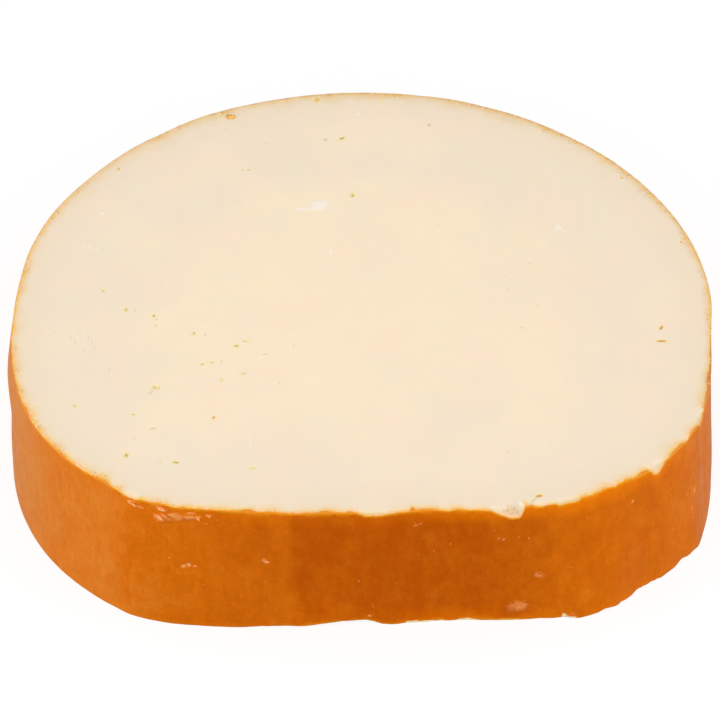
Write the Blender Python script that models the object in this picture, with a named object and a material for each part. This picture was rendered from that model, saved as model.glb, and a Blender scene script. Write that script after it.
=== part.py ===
"""A thick slice cut from a loaf of smoked processed cheese.

The slice is one solid: a low block with two parallel cut faces and a smoked
rind round its wall. Sizes are in metres and +Z is up. The slice rests on its
lower cut face, centred on the origin. +X runs along its width, and its
flatter front looks towards -Y. Bearings are degrees round the slice, seen
from above, from +X towards +Y.
"""
from dataclasses import dataclass
from math import atan2, cos, degrees, exp, hypot, radians, sin

import bmesh
import bpy

SLICE_NAME = "smoked_cheese_slice"

# The slice's outline: an ellipse behind its widest line, a squarer curve in front of it.
WIDTH = 0.1173
BACK_REACH = 0.0515
FRONT_REACH = 0.0469
BACK_SQUARENESS = 2.0
FRONT_SQUARENESS = 3.15
THICKNESS = 0.0285

# The mesh: columns round the wall, rows up it, and rings in from the rim of each cut face.
COLUMNS = 320
WALL_ROWS = 6
HALF_ROW = 0.5 / WALL_ROWS
RIM_RING = 0.0014
SECOND_RING = 0.0045

# A fade below this share counts as nothing.
FAINT = 1e-4

# Edges that turn more than this many degrees stay sharp.
SHARP_FROM = 35.0

# The material slots, with the linear colours and roughness of the pale paste and the smoked rind.
PASTE = 0
RIND = 1
PASTE_COLOUR = (0.93, 0.79, 0.60)
PASTE_ROUGHNESS = 0.55
RIND_COLOUR = (0.56, 0.12, 0.006)
RIND_ROUGHNESS = 0.42


@dataclass(frozen=True)
class Swell:
    """A broad swelling of the wall, or a hollow where proud is negative.

    It is strongest at a bearing and at a height, given as a share of the
    thickness, and fades over spread degrees and over reach, a share too.
    """

    bearing: float
    spread: float
    proud: float
    height: float = 0.0
    reach: float = 0.6


@dataclass(frozen=True)
class Chip:
    """A bite out of the edge of a cut face: how deep it goes and how far in.

    It is flat across most of its width, which spread gives in degrees from
    its middle to its sides, and rises steeply there.
    """

    bearing: float
    spread: float
    depth: float
    inward: float = 0.0


@dataclass(frozen=True)
class Raggedness:
    """Small uneven teeth along an edge between two bearings."""

    start: float
    end: float
    depth: float
    waves: tuple


SWELLS = (
    Swell(bearing=-144, spread=7, proud=-0.0008, height=1.0, reach=0.5),
    Swell(bearing=-128, spread=7, proud=0.0015, height=0.0, reach=0.85),
    Swell(bearing=-173, spread=7, proud=0.0013, height=0.65, reach=0.25),
    Swell(bearing=-166, spread=9, proud=0.0006, height=0.0, reach=0.6),
    Swell(bearing=-75, spread=5, proud=-0.0008, height=1.0, reach=0.5),
    Swell(bearing=-72, spread=14, proud=-0.0016, height=0.0, reach=0.5),
    Swell(bearing=-48, spread=5, proud=0.0018, height=0.0, reach=0.4),
    Swell(bearing=-38, spread=3, proud=-0.0008, height=0.0, reach=0.4),
    Swell(bearing=-22, spread=11, proud=0.0015, height=0.0, reach=0.7),
    Swell(bearing=31, spread=12, proud=-0.0003, height=1.0, reach=1.5),
)

RIM_CHIPS = (
    Chip(bearing=-88.0, spread=4.5, depth=0.0008),
    Chip(bearing=-62.4, spread=2.6, depth=0.0027, inward=0.0002),
    Chip(bearing=-53.5, spread=3.5, depth=0.0007),
    Chip(bearing=-36.5, spread=1.8, depth=0.0014, inward=0.0003),
    Chip(bearing=-25.0, spread=3.5, depth=0.0006, inward=0.0001),
)

BASE_CHIPS = (
    Chip(bearing=-93.0, spread=5.0, depth=0.0009, inward=0.0003),
)

RIM_TEETH = Raggedness(start=-60, end=-18, depth=0.00030, waves=(23, 41, 67))
BASE_TEETH = Raggedness(start=-62, end=-12, depth=0.00035, waves=(29, 47, 71))


def turn_between(bearing, other):
    """The smallest turn in degrees from one bearing to another."""
    return (bearing - other + 180.0) % 360.0 - 180.0


def outline_reach(bearing):
    """How far the plain outline lies from the middle of the widest line."""
    across = abs(cos(radians(bearing))) / (WIDTH / 2)
    along = sin(radians(bearing))
    reach, squareness = (BACK_REACH, BACK_SQUARENESS) if along >= 0 else (FRONT_REACH, FRONT_SQUARENESS)
    return (across**squareness + abs(along / reach) ** squareness) ** (-1 / squareness)


def swelling(bearing, height):
    """How far the wall stands out of the plain outline at a share of its height."""
    proud = 0.0
    for swell in SWELLS:
        round_fade = exp(-0.5 * (turn_between(bearing, swell.bearing) / swell.spread) ** 2)
        height_fade = exp(-0.5 * ((height - swell.height) / swell.reach) ** 2)
        proud += swell.proud * round_fade * height_fade
    return proud


def bite(chips, bearing):
    """(depth, inward) of the chips in an edge at a bearing."""
    depth = inward = 0.0
    for chip in chips:
        fade = exp(-((turn_between(bearing, chip.bearing) / chip.spread) ** 4))
        if fade > FAINT:
            depth += chip.depth * fade
            inward += chip.inward * fade
    return depth, inward


def tooth(raggedness, bearing):
    """How far the small teeth of an edge reach at a bearing, fading at both ends of the run."""
    run = (bearing - raggedness.start) / (raggedness.end - raggedness.start)
    if not 0.0 < run < 1.0:
        return 0.0
    turn = radians(bearing)
    waves = sum(sin(wave * turn + wave) for wave in raggedness.waves) / len(raggedness.waves)
    return raggedness.depth * waves * min(1.0, 5.0 * run, 5.0 * (1.0 - run))


def clay_block():
    """A closed drum of unit radius, with rows up its wall and rings on its two faces."""
    block = bmesh.new()
    bmesh.ops.create_cone(
        block, cap_ends=True, cap_tris=False, segments=COLUMNS, radius1=1.0, radius2=1.0, depth=1.0
    )
    uprights = [edge for edge in block.edges if edge.verts[0].co.z * edge.verts[1].co.z < 0]
    bmesh.ops.subdivide_edges(block, edges=uprights, cuts=WALL_ROWS - 1, use_grid_fill=True)
    for face in [face for face in block.faces if len(face.verts) == COLUMNS]:
        for width in (RIM_RING, SECOND_RING - RIM_RING):
            bmesh.ops.inset_region(
                block, faces=[face], thickness=width / (WIDTH / 2), use_boundary=True, use_even_offset=True
            )
        bmesh.ops.poke(block, faces=[face])
    bmesh.ops.translate(block, verts=block.verts, vec=(0, 0, 0.5))
    block.normal_update()
    for face in block.faces:
        face.smooth = True
        face.material_index = PASTE if abs(face.normal.z) > 0.5 else RIND
    return block


def shape_slice(block):
    """Moves the drum's vertices to the slice's outline, with its swells, chips and teeth."""
    on_wall = 1.0 - RIM_RING / WIDTH
    for vert in block.verts:
        share_out = hypot(vert.co.x, vert.co.y)
        bearing = degrees(atan2(vert.co.y, vert.co.x))
        height = vert.co.z
        level = THICKNESS * height
        inward = 0.0
        if share_out > on_wall:
            rim_depth, rim_inward = bite(RIM_CHIPS, bearing)
            base_depth, base_inward = bite(BASE_CHIPS, bearing)
            low = max(0.0, base_depth + tooth(BASE_TEETH, bearing))
            high = THICKNESS - max(0.0, rim_depth + tooth(RIM_TEETH, bearing))
            level = low + (high - low) * height
            if height < HALF_ROW:
                inward = base_inward
            elif height > 1.0 - HALF_ROW:
                inward = rim_inward
        reach = (outline_reach(bearing) + swelling(bearing, height)) * share_out - inward
        vert.co = (reach * cos(radians(bearing)), reach * sin(radians(bearing)), level)


def centre_on_origin(block):
    """Moves the shape sideways so that its bounds lie evenly about the origin."""
    spans = [[vert.co[axis] for vert in block.verts] for axis in (0, 1)]
    middle_x, middle_y = [(min(span) + max(span)) / 2 for span in spans]
    bmesh.ops.translate(block, verts=block.verts, vec=(-middle_x, -middle_y, 0))


def plain_finish(name, colour, roughness):
    """A smooth opaque finish with one colour."""
    finish = bpy.data.materials.new(name)
    finish.use_nodes = True
    shader = finish.node_tree.nodes["Principled BSDF"]
    shader.inputs["Base Color"].default_value = (*colour, 1.0)
    shader.inputs["Roughness"].default_value = roughness
    shader.inputs["Metallic"].default_value = 0.0
    finish.diffuse_color = (*colour, 1.0)
    return finish


def build_slice(collection):
    """The slice: paste-coloured cut faces and a smoked rind, in one closed solid."""
    block = clay_block()
    shape_slice(block)
    centre_on_origin(block)
    bmesh.ops.recalc_face_normals(block, faces=block.faces)
    mesh = bpy.data.meshes.new(SLICE_NAME)
    block.to_mesh(mesh)
    block.free()
    mesh.set_sharp_from_angle(angle=radians(SHARP_FROM))
    mesh.materials.append(plain_finish("cheese_paste", PASTE_COLOUR, PASTE_ROUGHNESS))
    mesh.materials.append(plain_finish("smoked_rind", RIND_COLOUR, RIND_ROUGHNESS))
    collection.objects.link(bpy.data.objects.new(SLICE_NAME, mesh))


def main():
    """Clears the scene and builds the slice in a collection of its own."""
    for old in list(bpy.data.objects):
        bpy.data.objects.remove(old, do_unlink=True)
    collection = bpy.data.collections.new("smoked_cheese")
    bpy.context.scene.collection.children.link(collection)
    build_slice(collection)


main()
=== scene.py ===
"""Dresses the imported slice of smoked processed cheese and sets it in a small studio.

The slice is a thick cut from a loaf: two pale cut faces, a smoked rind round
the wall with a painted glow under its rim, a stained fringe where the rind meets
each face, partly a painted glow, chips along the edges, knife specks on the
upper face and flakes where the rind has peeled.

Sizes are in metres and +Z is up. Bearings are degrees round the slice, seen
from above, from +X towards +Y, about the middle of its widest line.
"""

import logging
from dataclasses import dataclass
from enum import Enum
from math import cos, pi, radians, sin

import bmesh
import bpy
import numpy as np
from mathutils import Matrix, Vector


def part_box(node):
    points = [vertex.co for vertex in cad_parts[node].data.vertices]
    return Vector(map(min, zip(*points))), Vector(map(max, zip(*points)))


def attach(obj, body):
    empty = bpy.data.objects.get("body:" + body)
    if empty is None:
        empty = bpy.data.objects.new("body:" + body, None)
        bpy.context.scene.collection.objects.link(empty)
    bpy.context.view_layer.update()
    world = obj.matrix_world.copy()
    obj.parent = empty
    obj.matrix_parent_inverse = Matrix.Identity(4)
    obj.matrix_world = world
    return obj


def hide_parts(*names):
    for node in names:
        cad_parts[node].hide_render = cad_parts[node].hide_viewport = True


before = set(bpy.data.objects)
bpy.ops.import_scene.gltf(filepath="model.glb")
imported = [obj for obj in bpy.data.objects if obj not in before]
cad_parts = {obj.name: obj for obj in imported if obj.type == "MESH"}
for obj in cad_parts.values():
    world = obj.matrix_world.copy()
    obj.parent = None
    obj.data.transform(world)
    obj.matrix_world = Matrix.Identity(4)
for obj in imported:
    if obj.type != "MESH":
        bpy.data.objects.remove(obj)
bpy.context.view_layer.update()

logging.basicConfig(level=logging.INFO, format="%(name)s: %(message)s")
log = logging.getLogger("smoked_cheese")

MM = 0.001
NODE = "smoked_cheese_slice"
BODY = "root"
PASTE_SLOT = "cheese_paste"
RIND_SLOT = "smoked_rind"

# Shares of the drum's height: the middle, where the upper face starts, and the wall between its edges.
MID_HEIGHT = 0.5
TOP_FROM = 0.999
OPEN_WALL = (0.02, 0.99)

# Heights on the drum are rounded to this many digits, so that the middle row is the same in every run.
HEIGHT_DIGITS = 6

# Soft noise mostly keeps between these two values.
NOISE_LOW, NOISE_HIGH = 0.3, 0.7

# The mix node's colour sockets share their names with others, so they are taken by place.
MIX_FIRST, MIX_SECOND, MIX_RESULT = 6, 7, 2

Colour = tuple[float, float, float]


def tint(red: int, green: int, blue: int) -> Colour:
    """Turns a display colour, each channel from 0 to 255, into the linear one that shaders use."""
    shares = [channel / 255 for channel in (red, green, blue)]
    return tuple(s / 12.92 if s <= 0.04045 else ((s + 0.055) / 1.055) ** 2.4 for s in shares)


def ease(share: np.ndarray) -> np.ndarray:
    """Smooths a share from 0 to 1 so that it starts and ends level."""
    share = np.clip(share, 0.0, 1.0)
    return share * share * (3.0 - 2.0 * share)


def turn_between(bearing: np.ndarray, other: float) -> np.ndarray:
    """Gives the smallest turn in degrees from one bearing to the others."""
    return (bearing - other + 180.0) % 360.0 - 180.0


def hump(bearing: np.ndarray, middle: float, spread: float, power: int = 2) -> np.ndarray:
    """Gives 1 at a bearing, fading to both sides of it over spread degrees."""
    return np.exp(-0.5 * np.abs(turn_between(bearing, middle) / spread) ** power)


def run_between(bearing: np.ndarray, start: float, end: float, rise: float, fall: float) -> np.ndarray:
    """Gives 1 between two bearings, eased in over rise and out over fall degrees."""
    return ease((bearing - start) / rise) * ease((end - bearing) / fall)


def linked(name: str, shape: bmesh.types.BMesh) -> bpy.types.Object:
    """Turns a drawn shape into a smooth object of the scene, and frees it.

    Args:
        name: The object's name.
        shape: The shape.

    Returns:
        The object.
    """
    for face in shape.faces:
        face.smooth = True
    mesh = bpy.data.meshes.new(name)
    shape.to_mesh(mesh)
    shape.free()
    piece = bpy.data.objects.new(name, mesh)
    bpy.context.scene.collection.objects.link(piece)
    return piece


class Tone(Enum):
    """The colour family of a mark on the cut face."""

    BROWN = 0.0
    OLIVE = 0.5
    GREY = 1.0


class Part(Enum):
    """Where a face of the slice lies, which is also its material's place."""

    PASTE = 0
    RIND = 1


@dataclass(frozen=True)
class LoopNoise:
    """Smooth seeded unevenness on a band that closes on itself, from -1 to 1.

    It has a number of cells round the slice and of rows up the wall.
    """

    seed: int
    cells: int
    rows: int = 1

    def at(self, bearing: np.ndarray, height: np.ndarray | float = 0.0) -> np.ndarray:
        """Reads the unevenness.

        Args:
            bearing: Degrees round the slice.
            height: Share of the band's height, from 0 to 1.

        Returns:
            One value for each bearing.
        """
        lattice = np.random.default_rng(self.seed).uniform(-1.0, 1.0, (self.rows + 2, self.cells))
        along = (bearing % 360.0) / 360.0 * self.cells
        up = np.clip(height, 0.0, 1.0) * self.rows + np.zeros_like(along)
        column, row = along.astype(int), up.astype(int)
        across, rise = ease(along - column), ease(up - row)
        left, right = column % self.cells, (column + 1) % self.cells
        low = lattice[row, left] * (1 - across) + lattice[row, right] * across
        high = lattice[row + 1, left] * (1 - across) + lattice[row + 1, right] * across
        return low * (1 - rise) + high * rise


@dataclass(frozen=True)
class Raggedness:
    """The size of an edge's small teeth: everywhere, and how much more about a bearing."""

    middle: float
    spread: float
    everywhere: float
    more: float

    def size(self, bearing: np.ndarray) -> np.ndarray:
        """Gives the size of the teeth at bearings."""
        return self.everywhere + self.more * np.exp(-(((bearing - self.middle) / self.spread) ** 4))


@dataclass(frozen=True)
class Swell:
    """A broad swelling of the wall, or a hollow where proud is negative.

    It is strongest at a bearing and at a height, given as a share of the
    thickness, and fades over spread degrees and over reach, a share too.
    """

    bearing: float
    spread: float
    proud: float
    height: float = 0.0
    reach: float = 0.6

    def at(self, bearing: np.ndarray, height: np.ndarray) -> np.ndarray:
        """Gives how far the wall stands out at bearings and shares of its height."""
        upright = np.exp(-0.5 * ((height - self.height) / self.reach) ** 2)
        return self.proud * hump(bearing, self.bearing, self.spread) * upright


@dataclass(frozen=True)
class EdgeChip:
    """A piece broken out of an edge: a floor of even depth between two sides.

    The break starts some way in from the edge. A torn chip shows rough paste.
    """

    start: float
    floor_start: float
    floor_end: float
    end: float
    depth: float
    inset: float = 0.6 * MM
    torn: float = 0.0

    def share(self, bearing: np.ndarray) -> np.ndarray:
        """Gives the share of the full depth at each bearing."""
        rise = np.clip((bearing - self.start) / (self.floor_start - self.start), 0.0, 1.0)
        return rise * np.clip((self.end - bearing) / (self.end - self.floor_end), 0.0, 1.0)


@dataclass(frozen=True)
class FaceMark:
    """A speck, pit or knife scratch on the upper cut face, in millimetres.

    Pit is how far it sinks, and below zero how far it stands out.
    """

    x: float
    y: float
    length: float
    width: float
    turn: float = 0.0
    tone: Tone = Tone.BROWN
    strength: float = 1.0
    pit: float = 0.10
    squareness: float = 2.4

    def near(self, x: np.ndarray, y: np.ndarray) -> np.ndarray:
        """Tells which places the mark may touch."""
        return np.hypot(x - self.x, y - self.y) < self.length + 1.0

    def closeness(self, x: np.ndarray, y: np.ndarray) -> np.ndarray:
        """Gives 1 at the mark's middle and near 0 past its outline.

        Args:
            x: Places along the slice's width, in millimetres.
            y: Places along its depth, in millimetres.

        Returns:
            The closeness of each place.
        """
        across, along = x - self.x, y - self.y
        turn = radians(self.turn)
        u = (across * cos(turn) + along * sin(turn)) / (self.length / 2)
        v = (along * cos(turn) - across * sin(turn)) / (self.width / 2)
        return np.exp(-1.2 * (np.abs(u) ** self.squareness + np.abs(v) ** self.squareness))


@dataclass(frozen=True)
class WallSpot:
    """A dent, blister or fleck on the rind, at a bearing and a height in millimetres.

    Proud is how far it stands out. Its pale film colour is partly peeled film and
    partly a painted highlight, and its darkness is painted shade in grooves,
    creases and gaps.
    """

    bearing: float
    height: float
    across: float
    tall: float
    proud: float = 0.0
    peel: float = 0.0
    turn: float = 0.0
    soot: float = 0.0

    def closeness(self, around: np.ndarray, height: np.ndarray) -> np.ndarray:
        """Gives 1 at the spot's middle and near 0 past its outline.

        Args:
            around: Distance along the wall from the spot's bearing, in millimetres.
            height: Height above the base, in millimetres.

        Returns:
            The closeness of each place.
        """
        rise = height - self.height
        turn = radians(self.turn)
        u = (around * cos(turn) + rise * sin(turn)) / (self.across / 2)
        v = (rise * cos(turn) - around * sin(turn)) / (self.tall / 2)
        return np.exp(-1.2 * np.abs(u**2 + v**2) ** 1.5)


@dataclass(frozen=True)
class FringeStop:
    """How far the fringe, a stain with a painted glow, reaches at a bearing, how golden and how faded it is.
    """

    bearing: float
    width: float
    gold: float
    faded: float = 0.0


@dataclass(frozen=True)
class SmokeStop:
    """How the smoke has coloured the rind at a bearing, each from 0 to 1.

    Depth is its darkness, then comes the strength of the painted glow under the rim,
    and slant is how much darker it is at the foot of the wall than at the top.
    """

    bearing: float
    depth: float
    ember_glow: float
    slant: float


def between_stops(stops: tuple[FringeStop | SmokeStop, ...], field: str, bearing: np.ndarray) -> np.ndarray:
    """Reads a field of the stops at bearings between them."""
    return np.interp(bearing, [stop.bearing for stop in stops], [getattr(stop, field) for stop in stops])


# Seeded unevenness of the two edges, of the rind and its blisters, and of the stains.
RIM_TEETH = (LoopNoise(11, 150), LoopNoise(12, 310))
BASE_LOBES = (LoopNoise(13, 190), LoopNoise(14, 330))
BASE_STEPS = LoopNoise(15, 520)
RIND_WAVES = LoopNoise(21, 46, 3)
RIND_STREAKS = LoopNoise(22, 140, 3)
RIND_GRAIN = LoopNoise(23, 380, 20)
CRINKLES = LoopNoise(31, 500, 60)
FRINGE_SWAY = LoopNoise(41, 90)
SMOKE_SWAY = LoopNoise(42, 24, 2)
BARE_SWAY = LoopNoise(43, 420)
LAP_TEETH = (LoopNoise(44, 170), LoopNoise(45, 430))

# Bearing, spread in degrees and how proud each is, then its height and reach as shares.
SWELLS = (
    Swell(-144, 7, -0.8 * MM, 1.0, 0.5),
    Swell(-128, 7, 1.5 * MM, 0.0, 0.85),
    Swell(-173.5, 6, 0.96 * MM, 0.75, 0.165),
    Swell(-166, 9, 0.6 * MM, 0.0, 0.6),
    Swell(-75, 5, -0.8 * MM, 1.0, 0.5),
    Swell(-72, 14, -1.6 * MM, 0.0, 0.5),
    Swell(-48, 5, 1.8 * MM, 0.0, 0.4),
    Swell(-38, 3, -0.8 * MM, 0.0, 0.4),
    Swell(-22, 11, 1.5 * MM, 0.0, 0.7),
    Swell(31, 12, -0.3 * MM, 1.0, 1.5),
    # Finer ones along the upper edge.
    Swell(95, 45, -0.09 * MM, 1.0, 1.5),
    Swell(50, 4.5, -0.15 * MM, 1.0, 1.5),
    Swell(73, 3, 0.10 * MM, 1.0, 1.5),
    Swell(119.5, 4, 0.16 * MM, 1.0, 1.5),
    Swell(130, 3, -0.14 * MM, 1.0, 1.5),
    Swell(162, 3, -0.12 * MM, 1.0, 1.5),
    Swell(-179, 3, -0.10 * MM, 1.0, 0.2),
    Swell(173, 5, -0.38 * MM, 1.0, 1.5),
    Swell(146, 7, -0.32 * MM, 1.0, 1.5),
    Swell(1.5, 4, 0.25 * MM, 1.0, 0.6),
    Swell(-137.5, 2.5, -0.4 * MM, 1.0, 0.3),
    Swell(-104, 2.5, 0.35 * MM, 1.0, 0.3),
    Swell(-75, 10, 0.35 * MM, 1.0, 0.4),
    Swell(-43.5, 4, -0.4 * MM, 1.0, 0.25),
    Swell(-8, 7, -0.42 * MM, 0.4, 0.6),
    # The corner at the right: a shallow crease down the wall.
    Swell(-23.3, 0.8, -0.16 * MM, 0.6, 0.3),
    # Finer ones along the lower edge.
    Swell(-174.5, 5.5, 0.49 * MM, 0.21, 0.2),
    Swell(-153, 7, -0.35 * MM, 0.0, 0.8),
    Swell(-142.5, 3, -0.06 * MM, 0.0, 0.4),
    Swell(-131.5, 1.5, 0.2 * MM, 0.0, 0.3),
    Swell(-115, 4, 0.28 * MM, 0.0, 0.4),
    Swell(-110.2, 1.2, -0.12 * MM, 0.0, 0.3),
    Swell(-106, 2.5, -0.24 * MM, 0.0, 0.3),
    Swell(-83.8, 1.6, 0.30 * MM, 0.0, 0.15),
    Swell(-82, 1.5, 0.12 * MM, 0.0, 0.3),
    Swell(-77.5, 2.2, 0.30 * MM, 0.0, 0.3),
    Swell(-72.4, 0.9, 0.20 * MM, 0.0, 0.3),
    Swell(-61.5, 4.5, 0.32 * MM, 0.0, 0.3),
    Swell(-51, 1.2, 0.30 * MM, 0.0, 0.3),
    Swell(-36, 2.5, 0.62 * MM, 0.0, 0.3),
    Swell(-28, 2.5, 0.72 * MM, 0.0, 0.3),
    Swell(-32, 2.5, -0.20 * MM, 0.0, 0.3),
    Swell(-18, 3.0, -0.2 * MM, 0.0, 0.3),
)

# The bearings of each chip's start, of its floor's start and end, and of its own end, then its size.
RIM_CHIPS = (
    EdgeChip(-133.9, -133.0, -131.2, -129.8, depth=0.5 * MM, inset=0.5 * MM),
    EdgeChip(-126.0, -124.6, -123.8, -122.4, depth=0.2 * MM, inset=0.3 * MM),
    EdgeChip(-91.6, -89.4, -86.2, -82.4, depth=0.65 * MM, inset=0.4 * MM),
    EdgeChip(-75.6, -74.0, -72.8, -71.6, depth=0.30 * MM, inset=0.3 * MM),
    EdgeChip(-65.6, -61.9, -60.2, -59.3, depth=2.1 * MM, inset=1.8 * MM, torn=1.0),
    EdgeChip(-58.2, -57.4, -53.8, -53.4, depth=0.40 * MM, inset=0.4 * MM),
    EdgeChip(-54.3, -53.5, -50.4, -49.9, depth=0.75 * MM, inset=0.5 * MM),
    EdgeChip(-44.6, -44.2, -43.9, -43.5, depth=0.45 * MM, inset=0.4 * MM),
    EdgeChip(-38.0, -36.7, -36.0, -34.3, depth=1.85 * MM, inset=0.9 * MM),
    EdgeChip(-30.4, -29.4, -28.9, -28.2, depth=0.25 * MM, inset=0.4 * MM),
    EdgeChip(-25.5, -24.3, -23.1, -22.0, depth=1.8 * MM, inset=0.5 * MM),
)

BASE_CHIPS = (
    EdgeChip(-102.8, -94.0, -89.2, -85.7, depth=1.15 * MM),
    EdgeChip(-57.9, -57.1, -56.3, -55.6, depth=0.12 * MM),
    EdgeChip(-54.4, -52.9, -52.3, -51.4, depth=0.44 * MM),
    EdgeChip(-47.9, -46.7, -46.2, -44.2, depth=0.48 * MM),
    EdgeChip(-41.3, -40.2, -40.0, -38.6, depth=0.52 * MM),
    EdgeChip(-39.2, -38.7, -38.5, -38.1, depth=0.37 * MM),
    EdgeChip(-38.1, -37.0, -36.3, -34.8, depth=0.42 * MM),
    EdgeChip(-35.0, -33.8, -33.4, -32.2, depth=0.28 * MM),
    EdgeChip(-32.6, -31.3, -30.4, -28.8, depth=0.80 * MM),
    EdgeChip(-29.9, -29.0, -28.2, -27.0, depth=0.60 * MM),
)

# Teeth of rind that lap over the upper edge: bearing, spread in degrees and reach.
RIND_LAPS = (
    (-127.0, 1.1, 0.22 * MM),
    (-123.4, 0.7, 0.18 * MM),
    (-157.0, 1.4, 0.30 * MM),
    (-147.4, 1.8, 0.26 * MM),
    (-137.4, 1.2, 0.30 * MM),
    (-112.4, 1.1, 0.48 * MM),
    (-107.6, 0.6, 0.24 * MM),
    (-103.0, 5.5, 0.20 * MM),
    (-97.4, 1.4, 0.42 * MM),
    (-92.6, 0.8, 0.36 * MM),
    (-79.8, 0.45, 0.75 * MM),
    (-77.6, 1.7, 0.32 * MM),
    (-70.5, 0.8, 0.22 * MM),
    (-58.8, 0.5, 0.50 * MM),
    (-46.2, 1.6, 0.10 * MM),
    (-41.8, 1.6, 0.18 * MM),
    (-39.0, 0.8, 0.50 * MM),
    (-31.6, 1.3, 0.42 * MM),
    (-27.4, 0.6, 0.24 * MM),
    (-20.0, 1.8, 0.32 * MM),
    (-15.5, 2.6, 0.50 * MM),
    (-9.5, 2.0, 0.16 * MM),
)

# Gritty clumps of smoke stain along the rim: bearing, spread in degrees and strength.
STAIN_CLUMPS = (
    (-171.0, 1.2, 0.6),
    (-166.0, 1.3, 0.6),
    (-161.5, 0.8, 0.7),
    (-153.0, 1.3, 0.7),
    (-147.6, 0.8, 0.7),
    (-138.8, 1.0, 0.8),
    (-134.2, 0.5, 0.7),
    (-126.5, 1.6, 0.4),
    (-2.3, 0.9, 0.8),
    (3.5, 0.9, 0.5),
    (7.8, 1.0, 0.5),
    (16.4, 2.0, 0.9),
    (25.2, 1.6, 0.8),
    (29.4, 1.6, 1.0),
    (35.0, 1.0, 0.9),
    (47.5, 0.8, 0.8),
    (49.9, 0.9, 0.9),
    (53.5, 0.9, 0.9),
    (64.4, 1.0, 0.8),
    (68.6, 0.9, 0.7),
    (83.8, 0.8, 0.9),
    (98.9, 0.9, 0.6),
    (105.8, 1.3, 0.7),
    (117.0, 1.2, 0.8),
    (125.5, 0.9, 0.6),
    (131.0, 1.0, 0.7),
    (142.0, 0.9, 0.5),
    (147.4, 0.8, 0.6),
    (150.8, 1.0, 0.6),
    (157.6, 1.6, 0.8),
    (161.4, 0.8, 0.4),
    (171.2, 1.8, 0.9),
    (174.6, 1.2, 0.6),
)

# Bearing, how far the fringe is drawn out, and how golden it is.
FRINGE = (
    FringeStop(-180, 0.60, 0.8),
    FringeStop(-160, 0.80, 1.0),
    FringeStop(-138, 0.80, 1.0),
    FringeStop(-124, 0.70, 1.0),
    FringeStop(-96, 0.62, 1.0),
    FringeStop(-84, 0.58, 1.0),
    FringeStop(-68, 0.58, 1.0),
    FringeStop(-58, 0.60, 1.0),
    FringeStop(-46, 0.98, 1.0),
    FringeStop(-30, 0.80, 1.0),
    FringeStop(-23, 0.80, 0.8),
    FringeStop(-18, 0.50, 0.35),
    FringeStop(-10, 0.42, 0.3),
    FringeStop(20, 0.50, 0.25),
    FringeStop(35, 0.70, 0.1),
    FringeStop(70, 0.85, 0.1),
    FringeStop(96, 0.9, 0.1, faded=0.1),
    FringeStop(106, 0.9, 0.2, faded=0.3),
    FringeStop(128, 1.0, 0.4, faded=0.2),
    FringeStop(145, 0.95, 0.5, faded=0.35),
    FringeStop(158, 0.75, 0.8, faded=0.1),
    FringeStop(172, 0.65, 0.8),
    FringeStop(180, 0.60, 0.8),
)

# Bearing, depth, strength of the painted glow under the rim, and slant.
SMOKE = (
    SmokeStop(-180.0, 0.00, 0.30, 0.00),
    SmokeStop(-165.0, 0.03, 0.30, 0.10),
    SmokeStop(-155.0, 0.12, 0.30, 0.16),
    SmokeStop(-148.0, 0.26, 0.30, 0.16),
    SmokeStop(-140.0, 0.28, 0.35, 0.06),
    SmokeStop(-133.8, 0.32, 0.35, 0.00),
    SmokeStop(-132.2, 0.37, 0.30, -0.12),
    SmokeStop(-128.0, 0.45, 0.34, 0.00),
    SmokeStop(-112.0, 0.62, 0.32, 0.00),
    SmokeStop(-104.8, 0.60, 0.32, 0.00),
    SmokeStop(-103.4, 0.80, 0.26, -0.08),
    SmokeStop(-96.0, 0.86, 0.22, -0.10),
    SmokeStop(-84.0, 0.94, 0.30, -0.04),
    SmokeStop(-75.0, 0.92, 0.65, 0.00),
    SmokeStop(-66.0, 0.85, 0.80, 0.00),
    SmokeStop(-58.0, 0.68, 0.80, 0.00),
    SmokeStop(-54.0, 0.56, 0.90, 0.00),
    SmokeStop(-42.0, 0.58, 0.95, 0.00),
    SmokeStop(-34.0, 0.53, 0.60, 0.00),
    SmokeStop(-28.0, 0.45, 0.40, 0.00),
    SmokeStop(-23.0, 0.38, 0.30, 0.00),
    SmokeStop(0.0, 0.42, 0.40, 0.00),
    SmokeStop(90.0, 0.60, 0.50, 0.00),
    SmokeStop(150.0, 0.25, 0.40, 0.00),
    SmokeStop(180.0, 0.00, 0.30, 0.00),
)

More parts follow.
